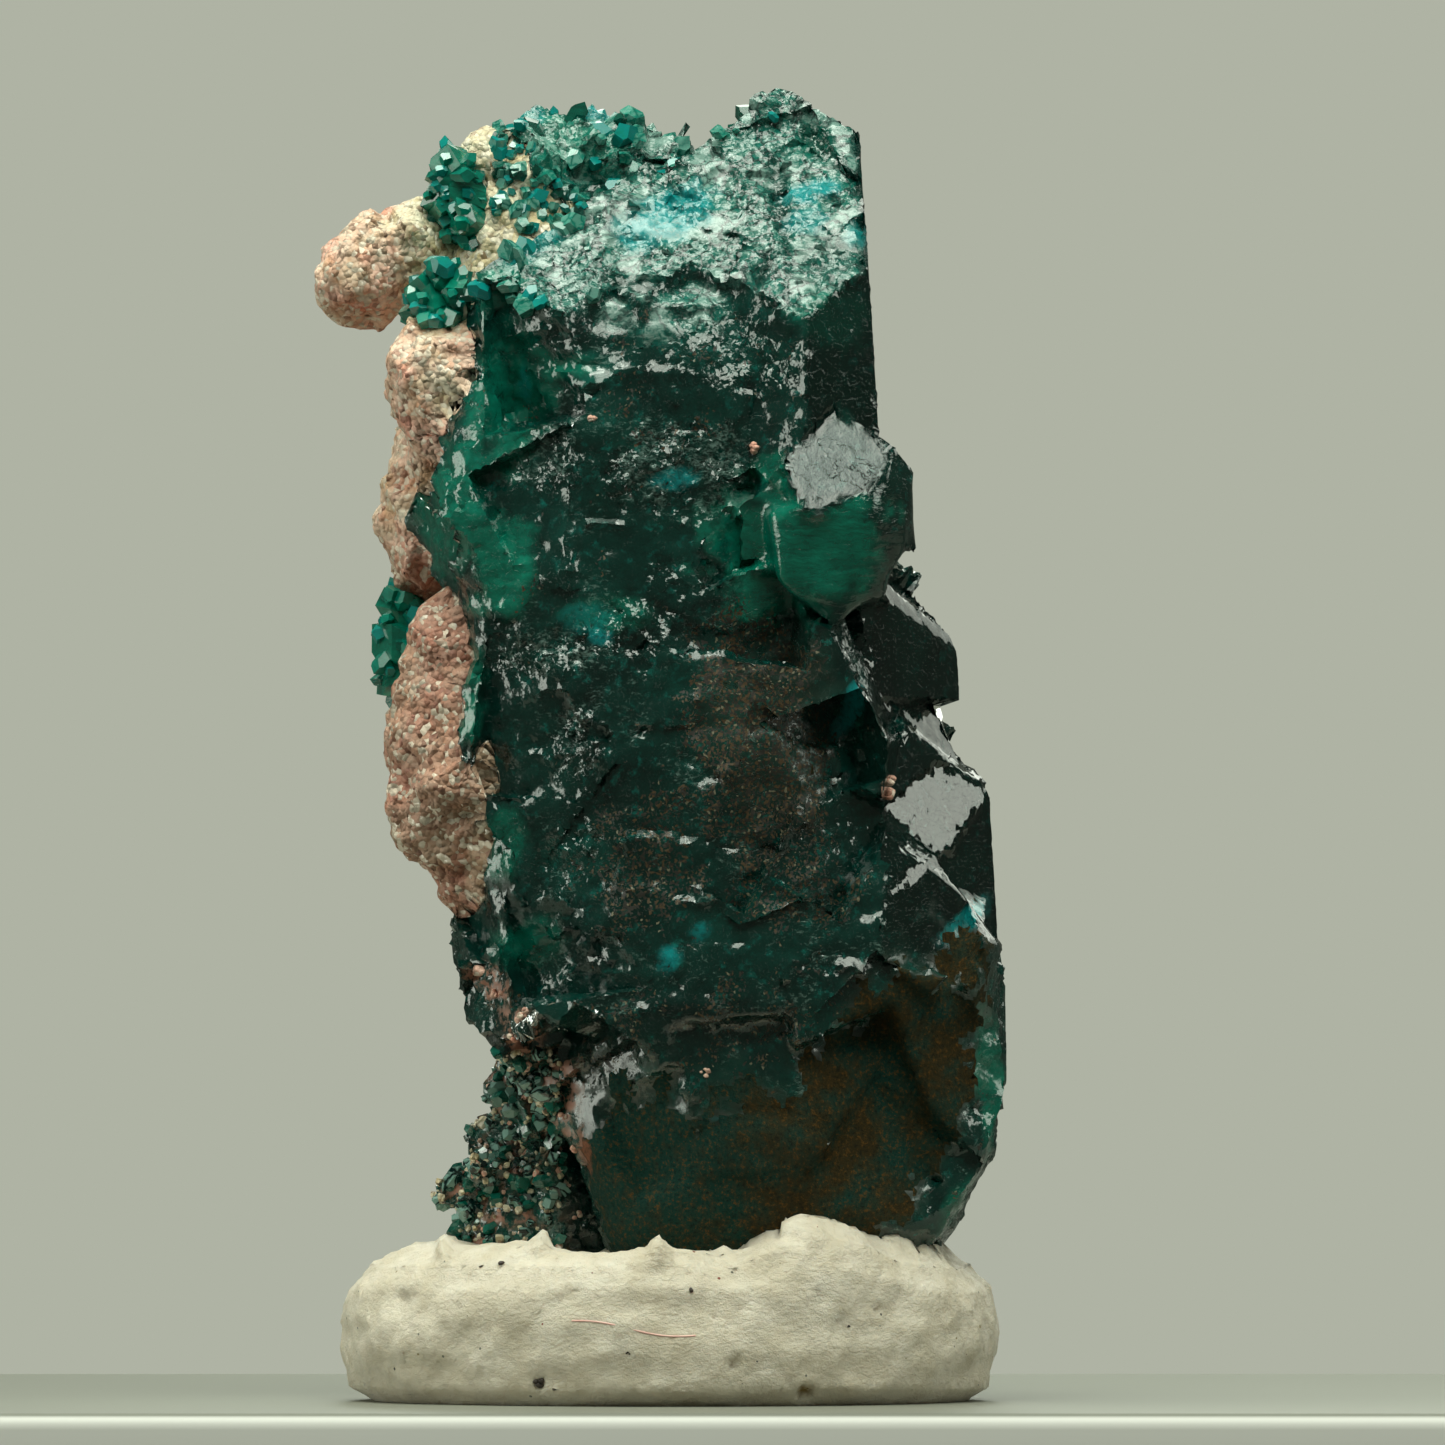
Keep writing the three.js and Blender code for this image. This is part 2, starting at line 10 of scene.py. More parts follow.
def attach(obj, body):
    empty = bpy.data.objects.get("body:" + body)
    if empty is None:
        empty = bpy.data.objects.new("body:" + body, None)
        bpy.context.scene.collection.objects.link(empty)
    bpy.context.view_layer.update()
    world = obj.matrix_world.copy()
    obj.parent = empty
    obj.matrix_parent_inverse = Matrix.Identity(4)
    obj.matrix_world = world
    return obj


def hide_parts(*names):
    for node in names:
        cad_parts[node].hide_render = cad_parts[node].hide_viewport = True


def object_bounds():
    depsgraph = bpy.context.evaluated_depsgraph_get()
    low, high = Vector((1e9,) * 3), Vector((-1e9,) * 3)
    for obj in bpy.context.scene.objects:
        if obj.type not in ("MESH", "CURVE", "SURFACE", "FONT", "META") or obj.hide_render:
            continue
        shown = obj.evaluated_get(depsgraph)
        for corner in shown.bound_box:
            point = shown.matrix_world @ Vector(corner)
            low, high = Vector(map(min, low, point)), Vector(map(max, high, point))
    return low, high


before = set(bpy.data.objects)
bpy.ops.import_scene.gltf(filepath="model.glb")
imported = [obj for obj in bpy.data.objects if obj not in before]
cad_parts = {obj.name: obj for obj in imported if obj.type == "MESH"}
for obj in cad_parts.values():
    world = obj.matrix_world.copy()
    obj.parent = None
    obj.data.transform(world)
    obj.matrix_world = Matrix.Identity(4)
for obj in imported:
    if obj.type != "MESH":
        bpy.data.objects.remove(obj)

cad_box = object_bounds()
MM = 0.001


# The camera looks along +Y at the broken front, a touch upwards, so that the shelf is seen nearly edge on.
# It stands far enough away that depth hardly changes the scale.
PHOTO_PIXELS = 1445
PIXEL_MM = 0.02428
VIEW_CENTRE_MM = (1.27, 0.0, 16.45)
VIEW_ELEVATION = math.radians(-1.0)
LENS_MM = 400
SENSOR_MM = 36

camera_data = bpy.data.cameras.new("camera")
camera_data.lens = LENS_MM
camera_data.sensor_width = SENSOR_MM
camera_data.clip_start = 0.05
camera_data.clip_end = 20
camera = bpy.data.objects.new("camera", camera_data)
bpy.context.scene.collection.objects.link(camera)
view_distance = PHOTO_PIXELS * PIXEL_MM * MM * LENS_MM / SENSOR_MM
backwards = Vector((0, -math.cos(VIEW_ELEVATION), math.sin(VIEW_ELEVATION)))
camera.location = Vector(VIEW_CENTRE_MM) * MM + backwards * view_distance
camera.rotation_euler = (-backwards).to_track_quat("-Z", "Y").to_euler()
bpy.context.scene.camera = camera
bpy.context.scene.view_settings.view_transform = "Standard"


# The shelf that the specimen stands on: a pale slab with a front edge just ahead of the putty.
SHELF_SIZE_MM = (300, 40, 5)
SHELF_FRONT_MM = -12.0
SHELF_EDGE_MM = 0.4
SHELF_COLOUR = "#7C7D73"
# The lighter colour painted on the front edge of the slab is a painted highlight.
SHELF_EDGE_HIGHLIGHT = "#D4D3CE"


def linear(hex_colour):
    """An sRGB hex colour as linear red, green, blue and an alpha of 1."""
    parts = [int(hex_colour[k : k + 2], 16) / 255 for k in (1, 3, 5)]
    return (*[c / 12.92 if c <= 0.04045 else ((c + 0.055) / 1.055) ** 2.4 for c in parts], 1)


def add_node(tree, kind, inputs=None, output=0, **settings):
    """Adds a node and returns one of its outputs. An input is given a value, or an output to link to."""
    new = tree.nodes.new(kind)
    for name, value in settings.items():
        setattr(new, name, value)
    for key, value in (inputs or {}).items():
        if isinstance(value, bpy.types.NodeSocket):
            tree.links.new(value, new.inputs[key])
        else:
            new.inputs[key].default_value = value
    return new.outputs[output] if new.outputs else None


def new_material(name):
    """An empty material, its node tree, and the point being shaded, in millimetres."""
    material = bpy.data.materials.new(name)
    material.use_nodes = True
    tree = material.node_tree
    tree.nodes.clear()
    place = add_node(tree, "ShaderNodeTexCoord", output="Object")
    scaled = add_node(tree, "ShaderNodeVectorMath", {0: place, 1: (1 / MM,) * 3}, operation="MULTIPLY")
    return material, tree, scaled


def link_object(name, mesh):
    piece = bpy.data.objects.new(name, mesh)
    bpy.context.scene.collection.objects.link(piece)
    return piece


shelf_mesh = bpy.data.meshes.new("shelf")
bm = bmesh.new()
bmesh.ops.create_cube(bm, size=1)
bmesh.ops.scale(bm, vec=Vector(SHELF_SIZE_MM) * MM, verts=bm.verts)
shelf_middle = Vector((0, SHELF_FRONT_MM + SHELF_SIZE_MM[1] / 2, -SHELF_SIZE_MM[2] / 2)) * MM
bmesh.ops.translate(bm, vec=shelf_middle, verts=bm.verts)
bmesh.ops.bevel(
    bm, geom=bm.edges[:], offset=SHELF_EDGE_MM * MM, offset_type="OFFSET", segments=4,
    profile=0.5, material=-1, affect="EDGES",
)
bm.to_mesh(shelf_mesh)
bm.free()
shelf = link_object("shelf", shelf_mesh)
shelf_mesh.shade_smooth()
shelf_material, tree, place = new_material("frosted acrylic")
# The front edge of the slab is painted a lighter colour: a painted highlight along the edge.
depth = add_node(tree, "ShaderNodeSeparateXYZ", {0: place}, output="Y")
edge_highlight = add_node(tree, "ShaderNodeMapRange", {
    0: depth, 1: SHELF_FRONT_MM + 0.2, 2: SHELF_FRONT_MM + 0.1,
})
frost = add_node(tree, "ShaderNodeMix", {
    0: edge_highlight, 6: linear(SHELF_COLOUR), 7: linear(SHELF_EDGE_HIGHLIGHT),
}, output=2, data_type="RGBA")
shelf_shader = add_node(tree, "ShaderNodeBsdfPrincipled", {
    "Base Color": frost,
    "Roughness": 0.45,
    "IOR": 1.49,
})
add_node(tree, "ShaderNodeOutputMaterial", {"Surface": shelf_shader})
shelf_mesh.materials.append(shelf_material)


# Soft studio light: a wide panel overhead and a little in front, weak panels at both sides, and a dark front.
BACKDROP = "#AFB3A4"
ROOM = "#6C7265"
LIGHT_COLOUR = "#F8FFF0"


def add_panel(name, at_mm, towards_mm, size_mm, radiance):
    """A soft light panel. Its power follows from its area, so that its brightness is the radiance."""
    data = bpy.data.lights.new(name, "AREA")
    data.shape = "RECTANGLE"
    data.size = size_mm[0] * MM
    data.size_y = size_mm[1] * MM
    data.energy = radiance * math.pi * data.size * data.size_y
    data.color = linear(LIGHT_COLOUR)[:3]
    panel = bpy.data.objects.new(name, data)
    bpy.context.scene.collection.objects.link(panel)
    panel.location = Vector(at_mm) * MM
    panel.rotation_euler = (Vector(towards_mm) - Vector(at_mm)).to_track_quat("-Z", "Y").to_euler()
    return panel


add_panel("front and above", (5, -122, 250), (0, 0, 16), (200, 200), 5.6)
add_panel("overhead", (-50, 10, 257), (0, 0, 16), (150, 110), 6.8)
add_panel("left side", (-258, -25, 38), (0, 0, 14), (120, 150), 4.4)
add_panel("front right", (103, -160, 201), (4, -4.6, 22.5), (62, 62), 3.0)
add_panel("right", (226, -72, 103), (6, -2, 14), (75, 75), 4.6)
add_panel("right behind", (172, 149, 118), (0, 0, 16), (100, 100), 1.6)
add_panel("behind", (60, 240, 150), (0, 0, 16), (200, 120), 2.5)

world = bpy.data.worlds.new("studio")
bpy.context.scene.world = world
world.use_nodes = True
world.node_tree.nodes.clear()
seen = add_node(world.node_tree, "ShaderNodeBackground", {"Color": linear(BACKDROP), "Strength": 1.0})
unseen = add_node(world.node_tree, "ShaderNodeBackground", {"Color": linear(ROOM), "Strength": 0.55})
camera_ray = add_node(world.node_tree, "ShaderNodeLightPath", output="Is Camera Ray")
both = add_node(world.node_tree, "ShaderNodeMixShader", {
    0: camera_ray,
    1: unseen,
    2: seen,
})
add_node(world.node_tree, "ShaderNodeOutputWorld", {"Surface": both})


# The joined mass of dioptase crystals: a copper silicate, broken across at the front, with whole glassy faces
# at the right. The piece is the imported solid, cut into small cells and broken up into the fine facets.
DIOPTASE_CELL_MM = 0.142
DIOPTASE_SHARP_EDGE = math.radians(40)


def merged_copy(node_name, piece_name):
    """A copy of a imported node's mesh with its loose triangles joined, as a new object."""
    bm = bmesh.new()
    bm.from_mesh(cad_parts[node_name].data)
    bmesh.ops.remove_doubles(bm, verts=bm.verts, dist=0.002 * MM)
    mesh = bpy.data.meshes.new(piece_name)
    bm.to_mesh(mesh)
    bm.free()
    return link_object(piece_name, mesh)


def applied(piece):
    """Gives a piece the mesh that its modifiers make, and removes them."""
    evaluated = piece.evaluated_get(bpy.context.evaluated_depsgraph_get())
    old = piece.data
    piece.data = bpy.data.meshes.new_from_object(evaluated)
    piece.modifiers.clear()
    bpy.data.meshes.remove(old)
    piece.data.name = piece.name


def remeshed(piece, cell_mm):
    """Cuts a piece into even cells, with its edges kept."""
    bpy.context.view_layer.update()
    longest = max(piece.dimensions) / MM
    remesh = piece.modifiers.new("cells", "REMESH")
    remesh.mode = "SHARP"
    remesh.octree_depth = 8
    remesh.scale = min(0.99, longest / (cell_mm * 2**8))
    applied(piece)


dioptase = merged_copy("dioptase_crystals", "dioptase_mass")
remeshed(dioptase, DIOPTASE_CELL_MM)

# Which way the broken roof faces, and where the small whole crystal stands out at the right.
ROOF_OUT = Vector((-0.05, -0.75, 0.66)).normalized()
SMALL_CRYSTAL_MM = ((1.9, -9.0, 18.9), (6.4, -3.5, 24.5))

# Patches of the front, as x, z, half width, half height, lean in degrees and strength. Painted glow is a brighter
# green painted where the crystal is thin enough to let light through. Cyan is pale teal, in part cracks whitened to
# a pale skin and in part a painted highlight where edges glimmer, and flecks are where it breaks in fine steps that
# glint. Silvered is cleaved to a skin of flakes painted with silvery glints, and bare is free of it. A glint is one
# smooth facet that leans back. Dust and brown are iron stains, and rust is crumbs of the matrix.
FRONT_PATCHES_MM = {
    "glow": [
        (-4.0, 24.3, 1.1, 1.7, 0, 0.75), (-3.9, 24.0, 0.15, 0.6, -30, 1.0), (-4.0, 20.3, 0.8, 1.1, 0, 0.9),
        (-5.3, 21.6, 1.0, 1.6, 0, 0.7), (-4.6, 19.2, 0.4, 0.3, 0, 0.8), (-5.0, 17.4, 0.5, 1.3, 0, 0.7),
        (-4.0, 13.5, 0.5, 0.8, 0, 0.6), (-3.4, 11.1, 0.9, 0.5, 10, 0.5), (3.0, 20.6, 2.0, 1.7, 0, 0.9),
        (2.4, 22.5, 0.5, 0.4, 0, 0.8), (-4.4, 26.9, 0.7, 0.5, 0, 0.5), (4.0, 26.1, 0.9, 0.7, 0, 0.35),
        (3.5, 30.6, 0.5, 0.5, 0, 0.25), (-2.5, 24.9, 0.9, 0.25, 10, 0.7), (-1.4, 19.0, 1.2, 0.4, 0, 0.4),
        (7.9, 7.2, 0.45, 2.2, 8, 0.6), (7.2, 4.4, 0.7, 1.0, -30, 0.5), (-2.4, 30.4, 1.4, 0.9, 0, 0.35),
    ],
    "cyan": [
        (0.0, 28.7, 1.15, 0.6, 25, 1.0), (3.4, 29.3, 0.7, 0.28, 10, 1.0), (3.3, 28.5, 0.5, 0.35, 0, 0.6),
        (4.5, 28.2, 0.3, 0.3, 0, 0.6), (4.35, 16.8, 0.2, 0.7, -25, 0.9), (0.0, 22.2, 0.55, 0.28, 0, 0.8),
        (-1.7, 18.4, 0.25, 0.2, 0, 0.8), (0.0, 10.7, 0.26, 0.32, 0, 0.9), (0.7, 11.4, 0.25, 0.22, 0, 0.6),
        (7.1, 11.6, 0.9, 0.2, 40, 0.9), (1.3, 6.85, 0.3, 0.08, 0, 0.9), (-3.3, 28.1, 0.9, 0.4, 30, 0.5),
        (-1.8, 31.5, 1.0, 0.25, -8, 0.9), (-3.6, 31.3, 0.5, 0.3, 0, 0.6), (-4.1, 29.9, 0.4, 0.7, 0, 0.5),
        (-3.55, 24.6, 0.15, 0.5, 0, 0.6), (-2.0, 18.9, 0.6, 0.35, 0, 0.35),
    ],
    "flecks": [
        (0.1, 22.5, 1.8, 1.1, 0, 1.0), (-3.0, 22.7, 0.9, 1.0, 0, 0.7), (-2.7, 18.1, 1.7, 0.5, 12, 1.0),
        (-2.2, 15.9, 0.7, 0.8, 0, 1.0), (-2.5, 13.4, 0.8, 0.7, 0, 1.0), (0.7, 19.9, 1.1, 0.5, 0, 0.7),
        (-0.7, 18.8, 1.1, 0.7, 0, 0.7), (1.4, 25.0, 1.6, 0.8, 0, 0.6), (3.9, 10.6, 0.4, 0.3, 0, 0.7),
    ],
    "dust": [
        (2.0, 16.0, 1.7, 3.2, 0, 0.9), (-0.5, 13.0, 1.5, 2.0, 0, 0.6), (0.5, 25.5, 2.0, 1.0, 0, 0.35),
        (-0.3, 23.7, 1.4, 0.9, 0, 0.35), (1.5, 8.9, 3.2, 1.6, 0, 0.4), (3.0, 12.4, 1.6, 1.4, 0, 0.5),
    ],
    "brown": [
        (5.3, 7.4, 1.9, 3.9, -28, 1.0), (2.6, 4.9, 2.9, 2.5, -20, 1.0), (-0.6, 4.7, 1.9, 2.9, 0, 0.95),
        (2.4, 16.6, 1.6, 2.6, 0, 0.4),
    ],
    "silvered": [
        (-3.3, 26.5, 1.5, 0.6, 10, 0.5), (-1.9, 24.9, 0.75, 0.5, 0, 0.45), (1.8, 25.2, 1.3, 0.5, 0, 0.3),
        (-2.2, 13.2, 0.9, 0.6, 0, 0.2), (-1.2, 23.4, 0.9, 0.5, 0, 0.25),
    ],
    "bare": [
        (3.5, 30.6, 0.5, 0.42, -40, 1.0), (4.85, 28.5, 0.3, 2.8, 3, 0.9), (2.7, 28.9, 0.2, 1.5, 8, 0.7),
        (-0.7, 27.0, 1.1, 0.22, -5, 0.85), (2.2, 27.2, 0.15, 0.6, -30, 0.8), (-2.3, 28.4, 0.6, 0.12, 35, 0.6),
        (3.9, 27.7, 0.7, 0.6, 0, 0.35),
    ],
    "glint": [
        (4.3, 10.63, 0.6, 0.17, -15, 1.0), (1.77, 21.75, 0.34, 0.26, 30, 1.0), (-2.74, 12.4, 0.12, 0.08, 0, 1.0),
        (-1.5, 10.75, 0.1, 0.1, 0, 1.0), (-1.9, 24.75, 0.6, 0.4, 8, 0.5), (-3.9, 24.95, 0.3, 0.1, 0, 0.8),
        (4.05, 21.0, 0.05, 0.14, -35, 1.0), (3.2, 20.95, 0.13, 0.04, 0, 1.0), (5.25, 21.5, 0.15, 0.08, 30, 1.0),
    ],
    "rust": [
        (-4.3, 10.1, 0.55, 0.35, -30, 0.9), (-3.6, 9.0, 0.4, 0.8, 35, 0.9), (-2.3, 5.4, 0.45, 1.9, 8, 0.8),
        (-2.7, 7.7, 0.5, 0.9, 20, 0.9),
    ],
}


def ramp(value, low, high):
    """0 below low, 1 above high, and smooth between them."""
    t = min(1.0, max(0.0, (value - low) / (high - low)))
    return t * t * (3 - 2 * t)


def patched(p, patches, waver):
    """The strength of the strongest patch at a point. The edges of the patches waver."""
    strongest = 0.0
    for x, z, half_width, half_height, lean, strength in patches:
        dx, dz = p.x - x, p.z - z
        if abs(dx) > 2.5 + half_width or abs(dz) > 2.5 + half_height:
            continue
        cos, sin = math.cos(math.radians(lean)), math.sin(math.radians(lean))
        across = (dx * cos + dz * sin) / half_width
        along = (dz * cos - dx * sin) / half_height
        strongest = max(strongest, strength * ramp(1.3 - math.hypot(across, along) + waver, 0.0, 0.6))
    return strongest


def facet_height(p, size, slope, salt):
    """The height of flat facets of a size, each tilted its own way: what a broken crystal surface is made of."""
    spot = p / size + Vector((salt, 2 * salt, 3 * salt))
    spot += 0.3 * noise.noise_vector(spot * 1.7)
    middle = noise.voronoi(spot)[1][0]
    tilt = noise.cell_vector(middle * 5.1) - Vector((0.5, 0.5, 0.5))
    return size * (2 * slope * tilt.dot(spot - middle) + 0.35 * slope * (noise.cell(middle * 7.3) - 0.5))


def inside(p, box_mm, fade_mm):
    """1 inside a box, 0 outside it, and smooth at its sides."""
    value = 1.0
    for at, low, high in zip(p, *box_mm):
        value *= ramp(at, low - fade_mm, low + fade_mm) * ramp(-at, -high - fade_mm, -high + fade_mm)
    return value


# The small whole crystal has one flat satin face, given as its outline in x and z and its plane. Its right side
# is planed off.
SATIN_FACE_MM = [
    (3.93, 23.9), (4.88, 23.26), (5.34, 22.75), (4.83, 21.92), (3.52, 21.29), (3.16, 21.51), (2.84, 22.22), (2.67, 22.8),
]
SATIN_FACE_POINT_MM = Vector((3.885, -4.63, 22.58))
SATIN_FACE_RISE = (0.233, 0.433)
RIGHT_SIDE_MM = (Vector((5.3, -4.3, 22.58)), Vector((0.8, -0.6, 0.1)).normalized())


def in_satin_face(p):
    turns = zip(SATIN_FACE_MM, SATIN_FACE_MM[1:] + SATIN_FACE_MM[:1])
    return p.y < -3.5 and all((b[0] - a[0]) * (p.z - a[1]) - (b[1] - a[1]) * (p.x - a[0]) < 0 for a, b in turns)


# What each point of the surface is like. The names are the attributes stored on the mesh; the material reads all but
# bare.
def dioptase_zones(p, out):
    front = ramp(-out.y, 0.05, 0.45) * ramp(-p.y, 0.0, 1.2)
    waver = 0.45 * noise.noise(p * 1.2) + 0.3 * noise.noise(p * 3.5)
    roof = ramp(out.dot(ROOF_OUT), 0.72, 0.93) * ramp(p.z + waver, 25.4, 26.2)
    satin = 1.0 if in_satin_face(p) else 0.0
    crystal = max(satin, inside(p, SMALL_CRYSTAL_MM, 0.15) * ramp(-p.z, -23.0, -22.6))
    glassy = ramp(out.x, 0.42, 0.5) * ramp(p.z, 10.6, 11.2) * ramp(p.x, 4.6, 5.0)
    prism = ramp(out.x, 0.42, 0.5) * ramp(p.z, 21.0, 21.4) * ramp(p.x, 1.9, 2.5)
    whole = max(crystal, glassy, prism) * (1 - roof)
    zones = {"roof": roof, "whole": whole, "crystal": crystal, "broken": front * (1 - roof) * (1 - whole)}
    zones["satin"] = satin
    seen = max(front, roof, ramp(p.z, 26.5, 27.5) * ramp(-out.y, -0.2, 0.3))
    for name, patches in FRONT_PATCHES_MM.items():
        zones[name] = patched(p, patches, waver) * seen if seen > 0 else 0.0
    zones["glow"] *= 1 - zones["satin"]
    zones["brown"] *= 1 - zones["glow"]
    zones["dust"] *= 1 - roof
    zones["grown"] = (1 - front) * (1 - roof) * (1 - whole)
    druse = ramp(-p.x, 2.3, 2.9) * ramp(-p.z, -8.8, -7.8) * ramp(p.y, -2.9, -2.4)
    zones["rust"] = max(zones["rust"], 0.9 * druse * ramp(waver, -0.1, 0.2))
    # Frost is the cleaved skin, and also where silvery glints are painted into the colour.
    zones["frost"] = max(roof, ramp(p.z, 26.0, 27.0) * ramp(p.y, -1.0, -0.2) * ramp(out.z - out.y, 0.1, 0.5))
    zones["frost"] = max(zones["frost"], 0.8 * druse * ramp(-waver, -0.2, 0.3), zones["silvered"])
    zones["frost"] *= 1 - zones["bare"]
    del zones["silvered"]
    return zones


# The ridges that part the glassy crystals at the right into a light upper band and a darker face, each as a point
# and the direction up and away from it, in x and z, and the heights between which it lies. The brightest facet is
# tilted towards the front: its patch, its middle and the rise of its height towards the right, the back and down.
BAND_RIDGES_MM = [((5.05, 19.5), (0.58, 0.81), 16.9, 20.5), ((5.34, 16.6), (0.63, 0.78), 12.3, 16.9)]
BRIGHT_FACET_MM = [(5.95, 13.85, 0.85, 1.9, -45, 1.0), (5.0, 13.0, 0.22, 0.8, -40, 1.0)]
BRIGHT_FACET_MIDDLE_MM = Vector((6.1, -1.8, 14.2))
BRIGHT_FACET_RISE = Vector((0.124, 0.103, -0.157))
GLINT_RISE = 0.55


def dioptase_relief(p, zones):
    stretched = Vector((p.x * 0.8, p.y, p.z * 1.3))
    hackly = facet_height(stretched, 1.7, 0.08, 3) + facet_height(stretched, 0.7, 0.08, 5)
    hackly *= 1 - 0.7 * ramp(zones["brown"], 0.3, 0.7)
    hackly += zones["flecks"] * facet_height(stretched, 0.36, 0.28, 13)
    flaky = facet_height(p, 1.3, 0.10, 7) + facet_height(p, 0.5, 0.17, 11)
    rough = facet_height(p, 1.1, 0.16, 17) + facet_height(p, 0.45, 0.16, 19)
    height = zones["broken"] * hackly + zones["roof"] * flaky + zones["grown"] * rough
    height += zones["whole"] * 0.006 * noise.noise(Vector((p.x * 5, p.y * 5, p.z * 0.8)))
    height -= 0.22 * zones["bare"] * zones["roof"]
    if zones["glint"] > 0.3:
        for x, z, half_width, half_height, lean, strength in FRONT_PATCHES_MM["glint"]:
            if abs(p.x - x) < 2 * half_width and abs(p.z - z) < 2 * half_height:
                height = 0.3 * height - GLINT_RISE * (p.z - z)
    if zones["whole"] > 0.5 and zones["crystal"] < 0.5:
        for (x, z), (up_x, up_z), lowest, highest in BAND_RIDGES_MM:
            if lowest < p.z <= highest:
                above = (p.x - x) * up_x + (p.z - z) * up_z
                height -= 0.5 * max(0.0, above)
        bright = ramp(patched(p, BRIGHT_FACET_MM, 0.25 * noise.noise(p * 2.5)), 0.35, 0.6)
        height += bright * (BRIGHT_FACET_RISE.dot(p - BRIGHT_FACET_MIDDLE_MM) - 0.08)
        edge = bright * (1 - ramp(p.z + 0.5 * p.x, 16.2, 17.0))
        height += 0.025 * edge * noise.noise(Vector((p.x * 2 + p.z * 2, p.y, (p.z - p.x) * 9)))
    return height


def carve(piece, zones_at, relief_at, wander_mm):
    """Moves every vertex along its normal by the relief there, in millimetres, and stores the zones on the mesh.

    The vertices also wander a little along the surface, so that no edge shows the square cells.
    """
    mesh = piece.data
    low, high = cad_box
    layers = {}
    moved = []
    for vertex in mesh.vertices:
        p = vertex.co / MM
        zones = zones_at(p, vertex.normal)
        for name, value in zones.items():
            layers.setdefault(name, []).append(value)
        aside = noise.noise_vector(p * 1.1 / wander_mm) * 2 * wander_mm
        aside -= vertex.normal * (vertex.normal.dot(aside) - relief_at(p, zones))
        place = vertex.co + aside * MM
        moved.append(Vector(min(max(c, a), b) for c, a, b in zip(place, low, high)))
    for vertex, place in zip(mesh.vertices, moved):
        vertex.co = place
    for name, values in layers.items():
        mesh.attributes.new(name, "FLOAT", "POINT").data.foreach_set("value", values)
    mesh.update()


# Below the satin face the small crystal is rounded, as crystals are that have begun to dissolve, and so is the
# break under the brown stain.
bm = bmesh.new()
bm.from_mesh(dioptase.data)
rounded = []
for vertex in bm.verts:
    p = vertex.co / MM
    if in_satin_face(p):
        away = p - SATIN_FACE_POINT_MM
        p.y = SATIN_FACE_POINT_MM.y + SATIN_FACE_RISE[0] * away.x + SATIN_FACE_RISE[1] * away.z
    elif inside(p, ((2.0, -9.0, 18.9), (6.4, -3.3, 22.2)), 0.01) > 0.5:
        rounded.append(vertex)
    elif p.y < -1.0 and patched(p, FRONT_PATCHES_MM["brown"][:3], 0.0) > 0.3:
        rounded.append(vertex)
    elif inside(p, ((-0.8, -9.0, 7.5), (3.6, -2.0, 10.0)), 0.01) > 0.5:
        rounded.append(vertex)
    above = (p - RIGHT_SIDE_MM[0]).dot(RIGHT_SIDE_MM[1])
    if above > 0 and inside(p, SMALL_CRYSTAL_MM, 0.01) > 0.5:
        p -= RIGHT_SIDE_MM[1] * above
    vertex.co = p * MM
for _ in range(14):
    bmesh.ops.smooth_vert(bm, verts=rounded, factor=0.5, use_axis_x=True, use_axis_y=True, use_axis_z=True)
bm.to_mesh(dioptase.data)
bm.free()

carve(dioptase, dioptase_zones, dioptase_relief, 0.3 * DIOPTASE_CELL_MM)
dioptase.data.shade_smooth()
dioptase.data.set_sharp_from_angle(angle=DIOPTASE_SHARP_EDGE)

# Dioptase is a clear deep green crystal. Where it is broken, its surface is a mass of fine cleavage steps.
dioptase_material, tree, place = new_material("dioptase")
zone = {
    name: add_node(tree, "ShaderNodeAttribute", output="Fac", attribute_name=name)
    for name in ("roof", "whole", "crystal", "broken", "glow", "cyan", "flecks", "dust", "brown", "rust", "grown", "frost", "glint", "satin")
}

# Fine facets in the surface, at two sizes. A cell's random colour is its tilt.
CLEAVAGE_STEPS_MM = ((0.34, 0.5), (0.13, 0.7))
warp = add_node(tree, "ShaderNodeTexNoise", {"Vector": place, "Scale": 4.0, "Detail": 2.0}, output="Color")
warped = add_node(tree, "ShaderNodeVectorMath", {0: warp, 1: (0.22,) * 3, 2: place}, operation="MULTIPLY_ADD")
heights = []
for step_mm, slope in CLEAVAGE_STEPS_MM:
    cells = add_node(tree, "ShaderNodeTexVoronoi", {"Vector": warped, "Scale": 1 / step_mm}, output="Color").node
    tilt = add_node(tree, "ShaderNodeVectorMath", {0: cells.outputs["Color"], 1: (0.5,) * 3}, operation="SUBTRACT")
    across = add_node(tree, "ShaderNodeVectorMath", {0: warped, 1: cells.outputs["Position"]}, operation="SUBTRACT")
    height = add_node(tree, "ShaderNodeVectorMath", {0: tilt, 1: across}, output="Value", operation="DOT_PRODUCT")
    heights.append(add_node(tree, "ShaderNodeMath", {0: height, 1: slope}, operation="MULTIPLY"))
steps = add_node(tree, "ShaderNodeMath", {0: heights[0], 1: heights[1]}, operation="ADD")
hackliness = add_node(tree, "ShaderNodeTexNoise", {"Vector": place, "Scale": 0.9, "Detail": 4.0})
hackliness = add_node(tree, "ShaderNodeMapRange", {0: hackliness, 1: 0.45, 2: 0.65, 3: 0.10, 4: 0.34})
hackly = add_node(tree, "ShaderNodeMath", {0: zone["flecks"], 1: 0.7, 2: hackliness}, operation="MULTIPLY_ADD")
hackly = add_node(tree, "ShaderNodeMath", {0: zone["broken"], 1: hackly}, operation="MULTIPLY")
PLATE_SPACING_MM = 1.5
